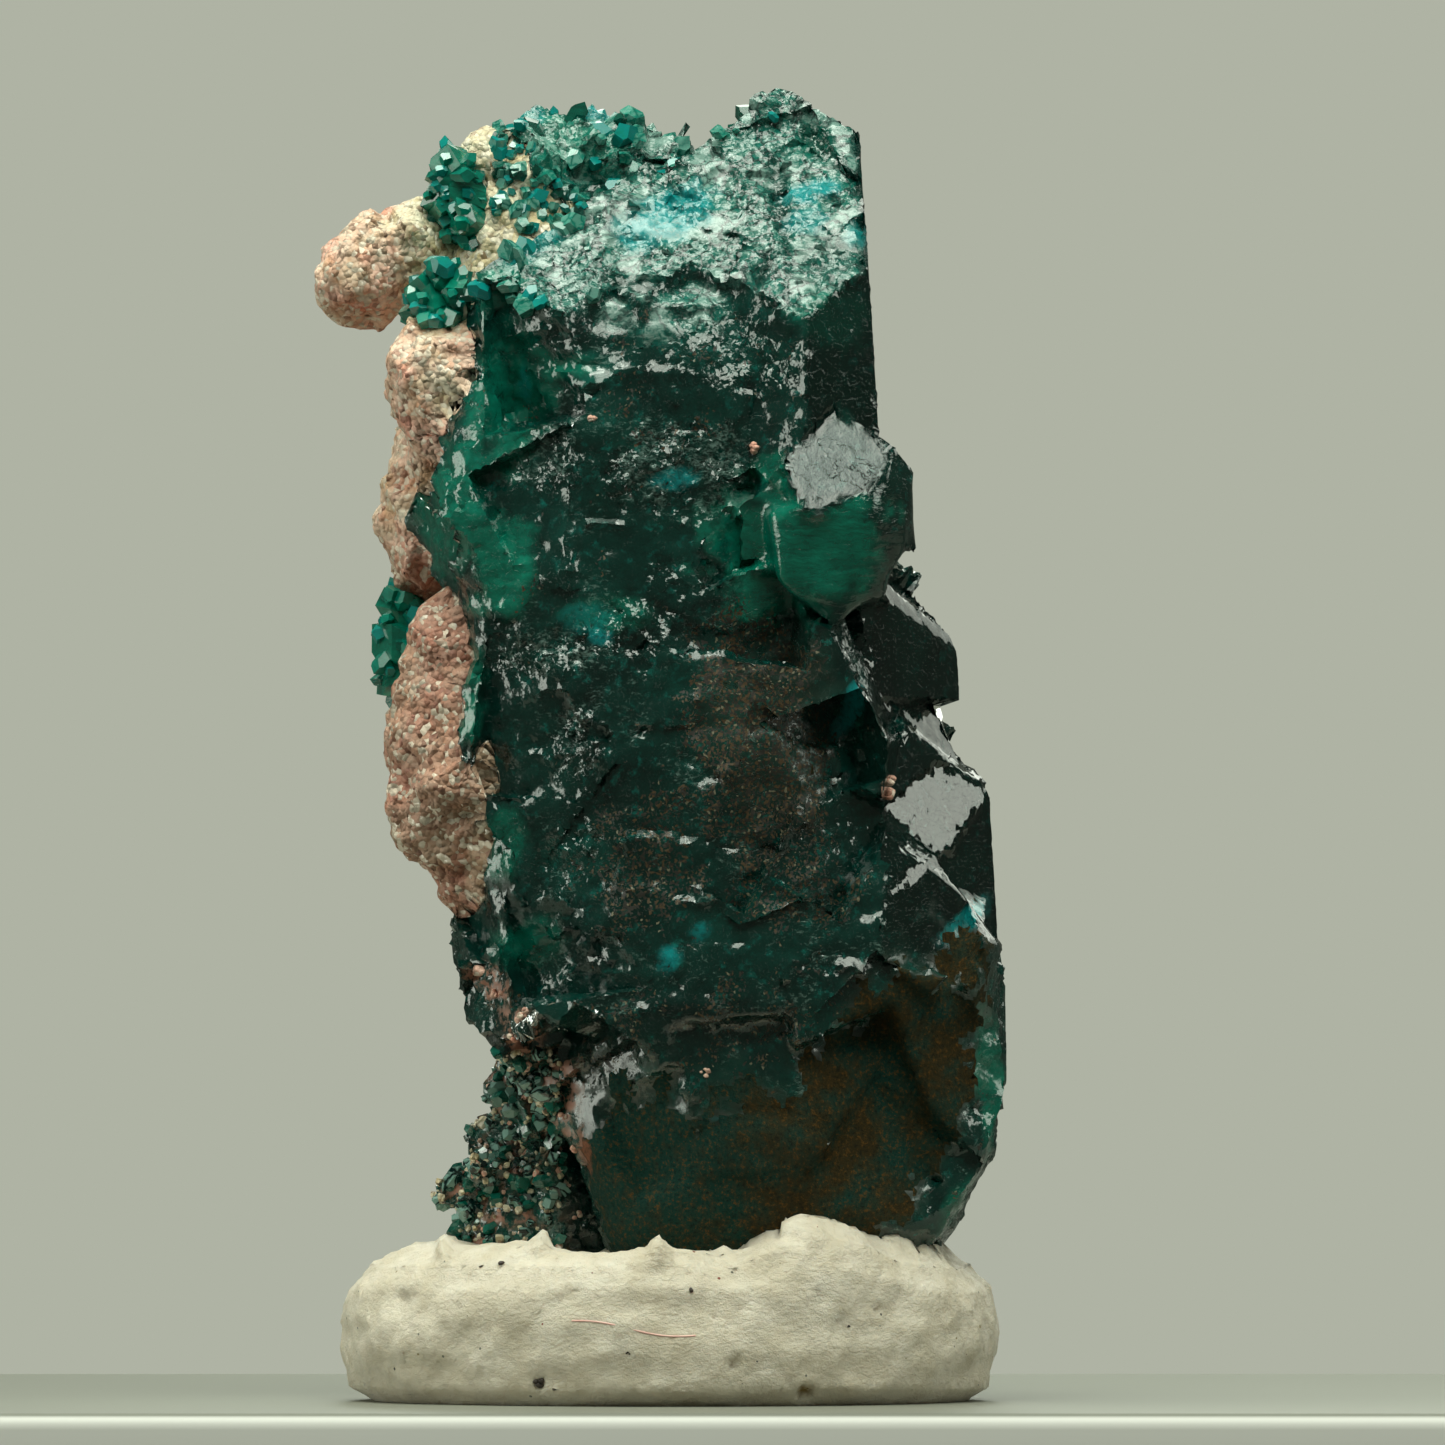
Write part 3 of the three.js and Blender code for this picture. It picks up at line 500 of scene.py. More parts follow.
plates = add_node(tree, "ShaderNodeTexNoise", {"Vector": warped, "Scale": 1 / PLATE_SPACING_MM, "Detail": 4.0})
plates = add_node(tree, "ShaderNodeMapRange", {0: plates, 1: 0.5, 2: 0.56})
flakiness = add_node(tree, "ShaderNodeMapRange", {0: plates, 3: 0.85, 4: 0.14})
flaky = add_node(tree, "ShaderNodeMath", {0: zone["roof"], 1: flakiness, 2: hackly}, operation="MULTIPLY_ADD")
stepped = add_node(tree, "ShaderNodeMath", {0: zone["grown"], 1: 0.6, 2: flaky}, operation="MULTIPLY_ADD")
stepped = add_node(tree, "ShaderNodeMath", {0: zone["whole"], 1: 0.02, 2: stepped}, operation="MULTIPLY_ADD")
smoothed = add_node(tree, "ShaderNodeMath", {0: zone["glint"], 1: -0.9, 2: 1.0}, operation="MULTIPLY_ADD")
stepped = add_node(tree, "ShaderNodeMath", {0: stepped, 1: smoothed}, operation="MULTIPLY")
relief = add_node(tree, "ShaderNodeMath", {0: steps, 1: stepped}, operation="MULTIPLY")
satin = add_node(tree, "ShaderNodeTexNoise", {"Vector": warped, "Scale": 9.0, "Detail": 4.0, "Roughness": 0.55})
satin = add_node(tree, "ShaderNodeMath", {0: satin, 1: 0.006}, operation="MULTIPLY")
scratches = add_node(tree, "ShaderNodeTexNoise", {"Vector": warped, "Scale": 1.6, "Detail": 3.0})
scratches = add_node(tree, "ShaderNodeMath", {0: scratches, 1: 0.5}, operation="SUBTRACT")
scratches = add_node(tree, "ShaderNodeMath", {0: scratches}, operation="ABSOLUTE")
scratches = add_node(tree, "ShaderNodeMapRange", {0: scratches, 1: 0.0, 2: 0.008, 3: -0.009, 4: 0.0})
satin = add_node(tree, "ShaderNodeMath", {0: satin, 1: scratches}, operation="ADD")
satin_share = add_node(tree, "ShaderNodeMapRange", {0: zone["satin"], 3: 0.04, 4: 1.0})
satin_share = add_node(tree, "ShaderNodeMath", {0: satin_share, 1: zone["whole"]}, operation="MULTIPLY")
relief = add_node(tree, "ShaderNodeMath", {0: satin, 1: satin_share, 2: relief}, operation="MULTIPLY_ADD")
leaning = add_node(tree, "ShaderNodeMapping", {
    "Vector": warped, "Rotation": (0, math.radians(40), 0), "Scale": (1.2, 1.2, 7.0),
})
striae = add_node(tree, "ShaderNodeTexNoise", {"Vector": leaning, "Scale": 1.0, "Detail": 4.0})
striae = add_node(tree, "ShaderNodeMath", {0: striae, 1: zone["crystal"]}, operation="MULTIPLY")
striae_height = add_node(tree, "ShaderNodeMapRange", {0: zone["satin"], 3: 0.035, 4: 0.0})
relief = add_node(tree, "ShaderNodeMath", {0: striae, 1: striae_height, 2: relief}, operation="MULTIPLY_ADD")
bump = add_node(tree, "ShaderNodeBump", {"Height": relief, "Distance": MM, "Strength": 1.0})

# The colour: two greens in clouds, then what lies in and on the crystal, with painted glow and painted glints among it.
clouds = add_node(tree, "ShaderNodeTexNoise", {"Vector": place, "Scale": 0.55, "Detail": 6.0, "Roughness": 0.6})
clouds = add_node(tree, "ShaderNodeMapRange", {0: clouds, 1: 0.35, 2: 0.65})
colour = add_node(
    tree, "ShaderNodeMix", {0: clouds, 6: linear("#052823"), 7: linear("#0A463D")}, output=2, data_type="RGBA",
)
spots = add_node(tree, "ShaderNodeTexNoise", {"Vector": place, "Scale": 3.2, "Detail": 5.0, "Roughness": 0.7})
spots = add_node(tree, "ShaderNodeMapRange", {0: spots, 1: 0.56, 2: 0.72})
colour = add_node(tree, "ShaderNodeMix", {0: spots, 6: colour, 7: linear("#13746A")}, output=2, data_type="RGBA")

# The silver skin: flakes of cleaved crystal, drawn out sideways, with smooth grey plates between them, painted
# silver-grey as painted glints and reflections of the light. The more there is of it, the lower the noise may be where
# a flake still shows.
drawn_out = add_node(tree, "ShaderNodeVectorMath", {0: warped, 1: (0.7, 1.0, 1.5)}, operation="MULTIPLY")
flakes = add_node(tree, "ShaderNodeTexNoise", {"Vector": drawn_out, "Scale": 8.0, "Detail": 7.0, "Roughness": 0.75})
plated = add_node(tree, "ShaderNodeMath", {0: plates, 1: 0.12, 2: flakes}, operation="MULTIPLY_ADD")
spread = add_node(tree, "ShaderNodeMath", {0: zone["broken"], 1: hackliness}, operation="MULTIPLY")
spread = add_node(tree, "ShaderNodeMath", {0: zone["flecks"], 1: 0.34, 2: spread}, operation="MULTIPLY_ADD")
spread = add_node(tree, "ShaderNodeMath", {0: zone["frost"], 1: spread}, operation="MAXIMUM")
least = add_node(tree, "ShaderNodeMath", {0: spread, 1: -0.22, 2: 0.71}, operation="MULTIPLY_ADD")
silver_glints = add_node(tree, "ShaderNodeMath", {0: plated, 1: least}, operation="SUBTRACT")
silver_glints = add_node(tree, "ShaderNodeMapRange", {0: silver_glints, 1: 0.0, 2: 0.13, 4: 0.8})
skin = add_node(tree, "ShaderNodeMath", {0: zone["frost"], 1: 0.55}, operation="MULTIPLY")
colour = add_node(tree, "ShaderNodeMix", {0: skin, 6: colour, 7: linear("#188070")}, output=2, data_type="RGBA")
colour = add_node(tree, "ShaderNodeMix", {0: silver_glints, 6: colour, 7: linear("#8AA9A0")}, output=2, data_type="RGBA")
CRACKED_PLATE_MM = 0.95
crack = add_node(tree, "ShaderNodeTexVoronoi", {"Vector": warped, "Scale": 1 / CRACKED_PLATE_MM},
                 output="Distance", feature="DISTANCE_TO_EDGE")
crack = add_node(tree, "ShaderNodeMapRange", {0: crack, 1: 0.0, 2: 0.06, 3: 0.8, 4: 0.0})
folds = add_node(tree, "ShaderNodeTexNoise", {"Vector": warped, "Scale": 0.9, "Detail": 5.0, "Distortion": 1.0})
folds = add_node(tree, "ShaderNodeMath", {0: folds, 1: 0.5}, operation="SUBTRACT")
folds = add_node(tree, "ShaderNodeMath", {0: folds}, operation="ABSOLUTE")
folds = add_node(tree, "ShaderNodeMapRange", {0: folds, 1: 0.0, 2: 0.035, 3: 0.95, 4: 0.0})
crack = add_node(tree, "ShaderNodeMath", {0: crack, 1: folds}, operation="MAXIMUM")
crack = add_node(tree, "ShaderNodeMath", {0: crack, 1: zone["frost"]}, operation="MULTIPLY")
colour = add_node(tree, "ShaderNodeMix", {0: crack, 6: colour, 7: linear("#04201F")}, output=2, data_type="RGBA")
# Painted glow: a brighter green painted where thin crystal lets light through.
glow = add_node(tree, "ShaderNodeTexNoise", {"Vector": drawn_out, "Scale": 1.8, "Detail": 6.0, "Roughness": 0.7})
glow = add_node(tree, "ShaderNodeMapRange", {0: glow, 1: 0.3, 2: 0.65, 3: 0.3, 4: 1.1})
glow = add_node(tree, "ShaderNodeMath", {0: glow, 1: zone["glow"]}, operation="MULTIPLY", use_clamp=True)
colour = add_node(tree, "ShaderNodeMix", {0: glow, 6: colour, 7: linear("#0C9C80")}, output=2, data_type="RGBA")
# Cyan: pale teal, partly a real pale skin over cracks and partly a painted highlight where edges glimmer.
pale = add_node(tree, "ShaderNodeTexNoise", {"Vector": warped, "Scale": 6.0, "Detail": 5.0, "Roughness": 0.7})
pale = add_node(tree, "ShaderNodeMapRange", {0: pale, 1: 0.25, 2: 0.5})
pale = add_node(tree, "ShaderNodeMath", {0: pale, 1: zone["cyan"]}, operation="MULTIPLY")
colour = add_node(tree, "ShaderNodeMix", {0: pale, 6: colour, 7: linear("#088C8E")}, output=2, data_type="RGBA")

# Stains and crumbs. The specks are about a tenth of a millimetre across.
brown = add_node(tree, "ShaderNodeTexNoise", {"Vector": place, "Scale": 2.0, "Detail": 7.0, "Roughness": 0.7})
brown = add_node(tree, "ShaderNodeMapRange", {0: brown, 1: 0.2, 2: 0.5})
brown = add_node(tree, "ShaderNodeMath", {0: brown, 1: zone["brown"]}, operation="MULTIPLY")
colour = add_node(tree, "ShaderNodeMix", {0: brown, 6: colour, 7: linear("#221C0B")}, output=2, data_type="RGBA")
specks = add_node(tree, "ShaderNodeTexVoronoi", {"Vector": warped, "Scale": 18.0}, output="Color")
speck_kind = add_node(tree, "ShaderNodeSeparateColor", {0: specks}, output="Red")
speck_colour = add_node(tree, "ShaderNodeValToRGB", {0: speck_kind}, output="Color")
kinds = speck_colour.node.color_ramp
kinds.interpolation = "CONSTANT"
kinds.elements[0].color = linear("#1E190C")
kinds.elements[1].position = 0.62
kinds.elements[1].color = linear("#4A3516")
pale_kind = kinds.elements.new(0.94)
pale_kind.color = linear("#77705A")
speck_spread = add_node(tree, "ShaderNodeTexNoise", {"Vector": place, "Scale": 1.3, "Detail": 3.0})
speck_pick = add_node(tree, "ShaderNodeSeparateColor", {0: specks}, output="Green")
speck_pick = add_node(tree, "ShaderNodeMath", {0: speck_pick, 1: speck_spread}, operation="MULTIPLY")
speck_limit = add_node(tree, "ShaderNodeMath", {0: zone["dust"], 1: -0.45, 2: 0.62}, operation="MULTIPLY_ADD")
speck = add_node(tree, "ShaderNodeMath", {0: speck_pick, 1: speck_limit}, operation="GREATER_THAN")
speck = add_node(tree, "ShaderNodeMath", {0: speck, 1: zone["broken"]}, operation="MULTIPLY")
colour = add_node(tree, "ShaderNodeMix", {0: speck, 6: colour, 7: speck_colour}, output=2, data_type="RGBA")
rust = add_node(tree, "ShaderNodeTexNoise", {"Vector": warped, "Scale": 3.5, "Detail": 6.0, "Roughness": 0.7})
rust = add_node(tree, "ShaderNodeMapRange", {0: rust, 1: 0.45, 2: 0.55})
rust = add_node(tree, "ShaderNodeMath", {0: rust, 1: zone["rust"]}, operation="MULTIPLY")
colour = add_node(tree, "ShaderNodeMix", {0: rust, 6: colour, 7: linear("#A8705A")}, output=2, data_type="RGBA")

cover = add_node(tree, "ShaderNodeMath", {0: brown, 1: rust}, operation="MAXIMUM")
cover = add_node(tree, "ShaderNodeMath", {0: cover, 1: speck}, operation="MAXIMUM")
clear = add_node(tree, "ShaderNodeMath", {0: zone["whole"], 1: 0.45, 2: 0.35}, operation="MULTIPLY_ADD")
clear = add_node(tree, "ShaderNodeMath", {0: clear, 1: pale}, operation="SUBTRACT")
clear = add_node(tree, "ShaderNodeMath", {0: clear, 1: cover}, operation="SUBTRACT", use_clamp=True)
clear = add_node(tree, "ShaderNodeMath", {0: zone["crystal"], 1: -0.35, 2: clear}, operation="MULTIPLY_ADD")
clear = add_node(tree, "ShaderNodeMath", {0: zone["frost"], 1: -0.3, 2: clear}, operation="MULTIPLY_ADD", use_clamp=True)
rough = add_node(tree, "ShaderNodeMath", {0: cover, 1: 0.45, 2: 0.13}, operation="MULTIPLY_ADD")
rough = add_node(tree, "ShaderNodeMath", {0: zone["roof"], 1: 0.12, 2: rough}, operation="MULTIPLY_ADD")
rough = add_node(tree, "ShaderNodeMath", {0: zone["whole"], 1: -0.09, 2: rough}, operation="MULTIPLY_ADD")
rough = add_node(tree, "ShaderNodeMath", {0: zone["satin"], 1: 0.16, 2: rough}, operation="MULTIPLY_ADD")

dioptase_shader = add_node(tree, "ShaderNodeBsdfPrincipled", {
    "Base Color": colour,
    "Roughness": rough,
    "IOR": 1.66,
    "Transmission Weight": clear,
    "Normal": bump,
})
absorption = add_node(tree, "ShaderNodeVolumeAbsorption", {"Color": linear("#05DACE"), "Density": 1100})
add_node(tree, "ShaderNodeOutputMaterial", {"Surface": dioptase_shader, "Volume": absorption})
dioptase.data.materials.clear()
dioptase.data.materials.append(dioptase_material)

# Iron stain lies over the lower right of the break: a dull, velvety, olive-brown skin with fine ochre grains, thin
# enough in places for the green to show.
STAINED_FROM = 0.55
stain_material, tree, place = new_material("limonite stain")
stain = add_node(tree, "ShaderNodeTexNoise", {"Vector": place, "Scale": 0.9, "Detail": 9.0, "Roughness": 0.7})
rightwards = add_node(tree, "ShaderNodeSeparateXYZ", {0: place}, output="X")
rightwards = add_node(tree, "ShaderNodeMapRange", {0: rightwards, 1: -0.5, 2: 2.5, 3: -0.2, 4: 0.0})
stain = add_node(tree, "ShaderNodeMath", {0: stain, 1: rightwards}, operation="ADD")
stain = add_node(tree, "ShaderNodeMapRange", {0: stain, 1: 0.38, 2: 0.58})
colour = add_node(
    tree, "ShaderNodeMix", {0: stain, 6: linear("#0E3A32"), 7: linear("#342C14")}, output=2, data_type="RGBA",
)
streaks = add_node(tree, "ShaderNodeVectorMath", {0: place, 1: (3.0, 3.0, 1.0)}, operation="MULTIPLY")
streaks = add_node(tree, "ShaderNodeTexNoise", {"Vector": streaks, "Scale": 1.6, "Detail": 6.0, "Roughness": 0.7})
streaks = add_node(tree, "ShaderNodeMapRange", {0: streaks, 1: 0.5, 2: 0.7, 4: 0.6})
colour = add_node(tree, "ShaderNodeMix", {0: streaks, 6: colour, 7: linear("#43341A")}, output=2, data_type="RGBA")
grains = add_node(tree, "ShaderNodeTexNoise", {"Vector": place, "Scale": 9.0, "Detail": 5.0, "Roughness": 0.8})
dark = add_node(tree, "ShaderNodeMapRange", {0: grains, 1: 0.46, 2: 0.38, 4: 0.7})
colour = add_node(tree, "ShaderNodeMix", {0: dark, 6: colour, 7: linear("#0C1410")}, output=2, data_type="RGBA")
ochre = add_node(tree, "ShaderNodeMapRange", {0: grains, 1: 0.54, 2: 0.64, 4: 0.8})
colour = add_node(tree, "ShaderNodeMix", {0: ochre, 6: colour, 7: linear("#6E4A1C")}, output=2, data_type="RGBA")
crumbs = add_node(tree, "ShaderNodeAttribute", output="Fac", attribute_name="rust")
crumbs = add_node(tree, "ShaderNodeMath", {0: crumbs, 1: grains}, operation="MULTIPLY")
crumbs = add_node(tree, "ShaderNodeMapRange", {0: crumbs, 1: 0.25, 2: 0.45})
colour = add_node(tree, "ShaderNodeMix", {0: crumbs, 6: colour, 7: linear("#8C5A44")}, output=2, data_type="RGBA")
bump = add_node(tree, "ShaderNodeBump", {"Height": grains, "Distance": 0.07 * MM, "Strength": 1.0})
stain_shader = add_node(tree, "ShaderNodeBsdfPrincipled", {
    "Base Color": colour,
    "Roughness": 0.75,
    "IOR": 1.5,
    "Specular IOR Level": 0.15,
    "Normal": bump,
})
add_node(tree, "ShaderNodeOutputMaterial", {"Surface": stain_shader})
dioptase.data.materials.append(stain_material)
stained = dioptase.data.attributes["brown"].data
for face in dioptase.data.polygons:
    middle = face.center / MM
    limit = STAINED_FROM + 0.25 * noise.noise(middle * 1.5) + 0.15 * noise.noise(middle * 5)
    if sum(stained[k].value for k in face.vertices) / len(face.vertices) > limit and face.normal.y < 0.2:
        face.material_index = 1
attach(dioptase, "root")
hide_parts("dioptase_crystals")


# The druse: many small whole crystals on the rear top, the lower left and the back, where the mass wasn't broken.
# Each is a short six-sided prism with three faces at each end.
DRUSE_SEED = 12
DRUSE_SIZE_MM = (0.25, 0.65)
LOWER_LEFT_SIZE_MM = (0.2, 0.5)


def crystal_template(prism_width, stretch):
    """One crystal, about 1 across: a cube stood on its corner and stretched, with its six side edges cut away."""
    bm = bmesh.new()
    bmesh.ops.create_cube(bm, size=1)
    stand = Vector((1, 1, 1)).rotation_difference(Vector((0, 0, 1))).to_matrix()
    bmesh.ops.rotate(bm, verts=bm.verts, matrix=stand)
    bmesh.ops.scale(bm, verts=bm.verts, vec=(1, 1, stretch))
    for k in range(6):
        turn = math.radians(60 * k)
        out = Vector((math.cos(turn), math.sin(turn), 0))
        geometry = bm.verts[:] + bm.edges[:] + bm.faces[:]
        cut = bmesh.ops.bisect_plane(bm, geom=geometry, plane_co=out * prism_width / 2, plane_no=out, clear_outer=True)
        edges = [e for e in cut["geom_cut"] if isinstance(e, bmesh.types.BMEdge)]
        if edges:
            bmesh.ops.contextual_create(bm, geom=edges)
    bmesh.ops.recalc_face_normals(bm, faces=bm.faces[:])
    mesh = bpy.data.meshes.new("crystal")
    bm.to_mesh(mesh)
    bm.free()
    return mesh


def scattered(bm, template, surface, count, sizes_mm, chosen, kinds, seed):
    """Adds crystals to a bmesh at random places of a surface, standing off it at all angles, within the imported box.

    A kind is how common it is, and what the material's zones are on it.
    """
    draw = random.Random(seed)
    layers = {name: bm.verts.layers.float.get(name) or bm.verts.layers.float.new(name) for name in kinds[0][1]}
    faces = [f for f in surface.polygons if chosen(f.center / MM, f.normal)]
    weights = [f.area for f in faces]
    low, high = cad_box
    for face in draw.choices(faces, weights, k=count):
        size = draw.uniform(*sizes_mm) * draw.uniform(0.6, 1.0) * MM
        lean = Vector((draw.uniform(-1, 1), draw.uniform(-1, 1), draw.uniform(-1, 1)))
        axis = (face.normal + 0.6 * lean).normalized()
        turned = axis.to_track_quat("Z", "X").to_matrix().to_4x4()
        place = Matrix.Translation(face.center + face.normal * size * draw.uniform(-0.15, 0.12))
        matrix = place @ turned @ Matrix.Diagonal((size, size, size * draw.uniform(0.75, 1.15), 1))
        zones = draw.choices([kind[1] for kind in kinds], [kind[0] for kind in kinds])[0]
        corners = [matrix @ v.co for v in template.vertices]
        if any(c[k] < low[k] or c[k] > high[k] for c in corners for k in range(3)):
            continue
        first = len(bm.verts)
        bm.from_mesh(template)
        bm.verts.ensure_lookup_table()
        added = bm.verts[first:]
        bmesh.ops.transform(bm, matrix=matrix, verts=added)
        for vertex in added:
            for name, layer in layers.items():
                vertex[layer] = zones[name]


def finished_crystals(bm, name, material=dioptase_material):
    """Makes a piece from a bmesh of crystals."""
    mesh = bpy.data.meshes.new(name)
    bm.to_mesh(mesh)
    bm.free()
    piece = link_object(name, mesh)
    mesh.materials.append(material)
    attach(piece, "root")
    return piece


# In each kind, the glow share paints a brighter green, as painted glow, and the frost share paints silvery glints.
REAR_TOP_KINDS = [
    (5, {"glow": 0.5, "frost": 1.3, "cyan": 0.1}),
    (3, {"glow": 0.7, "frost": 0.4, "cyan": 0.7}),
    (1, {"glow": 0.3, "frost": 0.0, "cyan": 0.0}),
]
LOWER_LEFT_KINDS = [
    (3, {"glow": 0.3, "frost": 0.5, "cyan": 0.0}),
    (6, {"glow": 0.0, "frost": 1.8, "cyan": 0.0}),
]
BACK_KINDS = [
    (4, {"glow": 0.2, "frost": 0.0, "cyan": 0.0}),
    (2, {"glow": 0.4, "frost": 0.4, "cyan": 0.1}),
    (1, {"glow": 0.0, "frost": 0.9, "cyan": 0.0}),
]


def is_rear_top(p, out):
    return p.z > 26.2 and p.x < 2.5 and (p.y > -0.6 or p.x < -1.5) and out.dot(ROOF_OUT) < 0.8


def is_lower_left(p, out):
    return p.z < 8.5 and p.x < -2.6 and p.y > -2.8


def is_back(p, out):
    return out.y > 0.3 and p.y > 0 and -4.5 < p.x < 3.2 and 3.0 < p.z < 27


small_crystal = crystal_template(0.85, 1.05)
bm = bmesh.new()
scattered(bm, small_crystal, dioptase.data, 330, DRUSE_SIZE_MM, is_rear_top, REAR_TOP_KINDS, DRUSE_SEED)
scattered(bm, small_crystal, dioptase.data, 420, LOWER_LEFT_SIZE_MM, is_lower_left, LOWER_LEFT_KINDS, DRUSE_SEED + 1)
scattered(bm, small_crystal, dioptase.data, 330, DRUSE_SIZE_MM, is_back, BACK_KINDS, DRUSE_SEED + 2)
finished_crystals(bm, "druse_crystals")


# The matrix: pink and buff grainy rock that the crystals grew on, with a round knob at the top left. It is grown
# into the dioptase, so its skin is drawn onto the crystals wherever it comes near them.
MATRIX_CELL_MM = 0.12
CONTACT_REACH_MM = 0.5
CONTACT_SINK_MM = 0.06


def drawn_onto(piece, other, reach_mm, sink_mm):
    """Draws the skin of a piece onto another piece where it faces it closely, and a little way in."""
    points = [v.co / MM for v in other.data.vertices]
    surface = BVHTree.FromPolygons(points, [f.vertices for f in other.data.polygons])
    places = [vertex.co.copy() for vertex in piece.data.vertices]
    for k, vertex in enumerate(piece.data.vertices):
        p = places[k] / MM
        near, _, _, distance = surface.find_nearest(p, reach_mm)
        if near is None or distance < 1e-4:
            continue
        towards = (near - p) / distance
        if towards.dot(vertex.normal) > 0.2:
            places[k] = (near + towards * sink_mm) * MM
    for vertex, place in zip(piece.data.vertices, places):
        vertex.co = place
    piece.data.update()


def grain_height(p, size, height, salt):
    """The height of packed round grains of a size."""
    spot = p / size + Vector((salt, 2 * salt, 3 * salt))
    nearest = noise.voronoi(spot)[0][0]
    return height * (0.55 - nearest)


def matrix_zones(p, out):
    pink = max(ramp(-p.x, 6.1, 6.9) * ramp(-p.z, -30, -28.8), ramp(-p.x, 4.7, 5.1) * ramp(-p.z, -26.4, -25.8))
    waver = 0.6 * noise.noise(p * 0.8) + 0.4 * noise.noise(p * 2.3)
    return {"pink": pink * min(1.0, max(0.0, 0.75 + waver)), "dull": ramp(-p.z, -21.5, -19.5)}


def matrix_relief(p, zones):
    swell = 0.20 * noise.noise(p * 0.9) + 0.14 * noise.noise(p * 2.0) + 0.08 * noise.noise(p * 4.2)
    return swell + grain_height(p, 0.5, 0.07, 2) + grain_height(p, 0.26, 0.05, 9)


matrix = merged_copy("matrix", "matrix_rock")
remeshed(matrix, MATRIX_CELL_MM)
carve(matrix, matrix_zones, matrix_relief, 0.3 * MATRIX_CELL_MM)
drawn_onto(matrix, dioptase, CONTACT_REACH_MM, CONTACT_SINK_MM)
matrix.data.shade_smooth()

# The rock is packed grains of quartz and feldspar, stained pink by iron, and buff where it isn't.
matrix_material, tree, place = new_material("grainy matrix rock")
ROCK_GRAIN_MM = 0.14
pinkness = add_node(tree, "ShaderNodeAttribute", output="Fac", attribute_name="pink")
mottle = add_node(tree, "ShaderNodeTexNoise", {"Vector": place, "Scale": 1.6, "Detail": 6.0, "Roughness": 0.65})
mottle = add_node(tree, "ShaderNodeMapRange", {0: mottle, 1: 0.35, 2: 0.65})
buff = add_node(
    tree, "ShaderNodeMix", {0: mottle, 6: linear("#D2BE92"), 7: linear("#F0E8CE")}, output=2, data_type="RGBA",
)
pink = add_node(
    tree, "ShaderNodeMix", {0: mottle, 6: linear("#E09078"), 7: linear("#FFD6C2")}, output=2, data_type="RGBA",
)
colour = add_node(tree, "ShaderNodeMix", {0: pinkness, 6: buff, 7: pink}, output=2, data_type="RGBA")
# The rock below the knob is painted a darker brown: painted shade over the lower part.
painted_shade_share = add_node(tree, "ShaderNodeAttribute", output="Fac", attribute_name="dull")
painted_shade_share = add_node(tree, "ShaderNodeMath", {0: painted_shade_share, 1: 0.65}, operation="MULTIPLY")
colour = add_node(tree, "ShaderNodeMix", {0: painted_shade_share, 6: colour, 7: linear("#96624C")}, output=2, data_type="RGBA")
bend = add_node(tree, "ShaderNodeTexNoise", {"Vector": place, "Scale": 5.0, "Detail": 2.0}, output="Color")
bent = add_node(tree, "ShaderNodeVectorMath", {0: bend, 1: (0.12,) * 3, 2: place}, operation="MULTIPLY_ADD")
grains = add_node(tree, "ShaderNodeTexVoronoi", {"Vector": bent, "Scale": 1 / ROCK_GRAIN_MM}, output="Distance").node
grain_kind = add_node(tree, "ShaderNodeSeparateColor", {0: grains.outputs["Color"]}, output="Red")
whitish = add_node(tree, "ShaderNodeMapRange", {0: grain_kind, 1: 0.72, 2: 0.78, 4: 0.7})
colour = add_node(tree, "ShaderNodeMix", {0: whitish, 6: colour, 7: linear("#F2E8D4")}, output=2, data_type="RGBA")
reddish = add_node(tree, "ShaderNodeMapRange", {0: grain_kind, 1: 0.12, 2: 0.07, 4: 0.5})
colour = add_node(tree, "ShaderNodeMix", {0: reddish, 6: colour, 7: linear("#7C3F30")}, output=2, data_type="RGBA")
# Painted shade in the gaps between the grains.
shade_between_grains = add_node(tree, "ShaderNodeMapRange", {0: grains.outputs["Distance"], 1: 0.5, 2: 0.9, 4: 0.25})
colour = add_node(tree, "ShaderNodeMix", {0: shade_between_grains, 6: colour, 7: linear("#A9846A")}, output=2, data_type="RGBA")
glassy = add_node(tree, "ShaderNodeMapRange", {0: grain_kind, 1: 0.86, 2: 0.9, 3: 0.62, 4: 0.16})
grain_tilt = add_node(tree, "ShaderNodeVectorMath", {0: grains.outputs["Color"], 1: (0.5,) * 3}, operation="SUBTRACT")
grain_across = add_node(tree, "ShaderNodeVectorMath", {0: bent, 1: grains.outputs["Position"]}, operation="SUBTRACT")
tilted = add_node(
    tree, "ShaderNodeVectorMath", {0: grain_tilt, 1: grain_across}, output="Value", operation="DOT_PRODUCT",
)
rounded = add_node(tree, "ShaderNodeMath", {0: grains.outputs["Distance"], 1: -0.06, 2: tilted}, operation="MULTIPLY_ADD")
bump = add_node(tree, "ShaderNodeBump", {"Height": rounded, "Distance": MM, "Strength": 1.0})
matrix_shader = add_node(tree, "ShaderNodeBsdfPrincipled", {
    "Base Color": colour,
    "Roughness": glassy,
    "IOR": 1.54,
    "Normal": bump,
})
add_node(tree, "ShaderNodeOutputMaterial", {"Surface": matrix_shader})
matrix.data.materials.clear()
matrix.data.materials.append(matrix_material)
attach(matrix, "root")
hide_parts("matrix")

# Grains of the same rock sit among the druse at the lower left, white or stained pink.
ROCK_GRAIN_KINDS = [(7, {"pink": 0.0, "dull": 0.0}), (2, {"pink": 1.0, "dull": 0.0})]
bm = bmesh.new()
scattered(bm, small_crystal, dioptase.data, 650, (0.1, 0.26), is_lower_left, ROCK_GRAIN_KINDS, 21)
finished_crystals(bm, "druse_rock_grains", matrix_material)


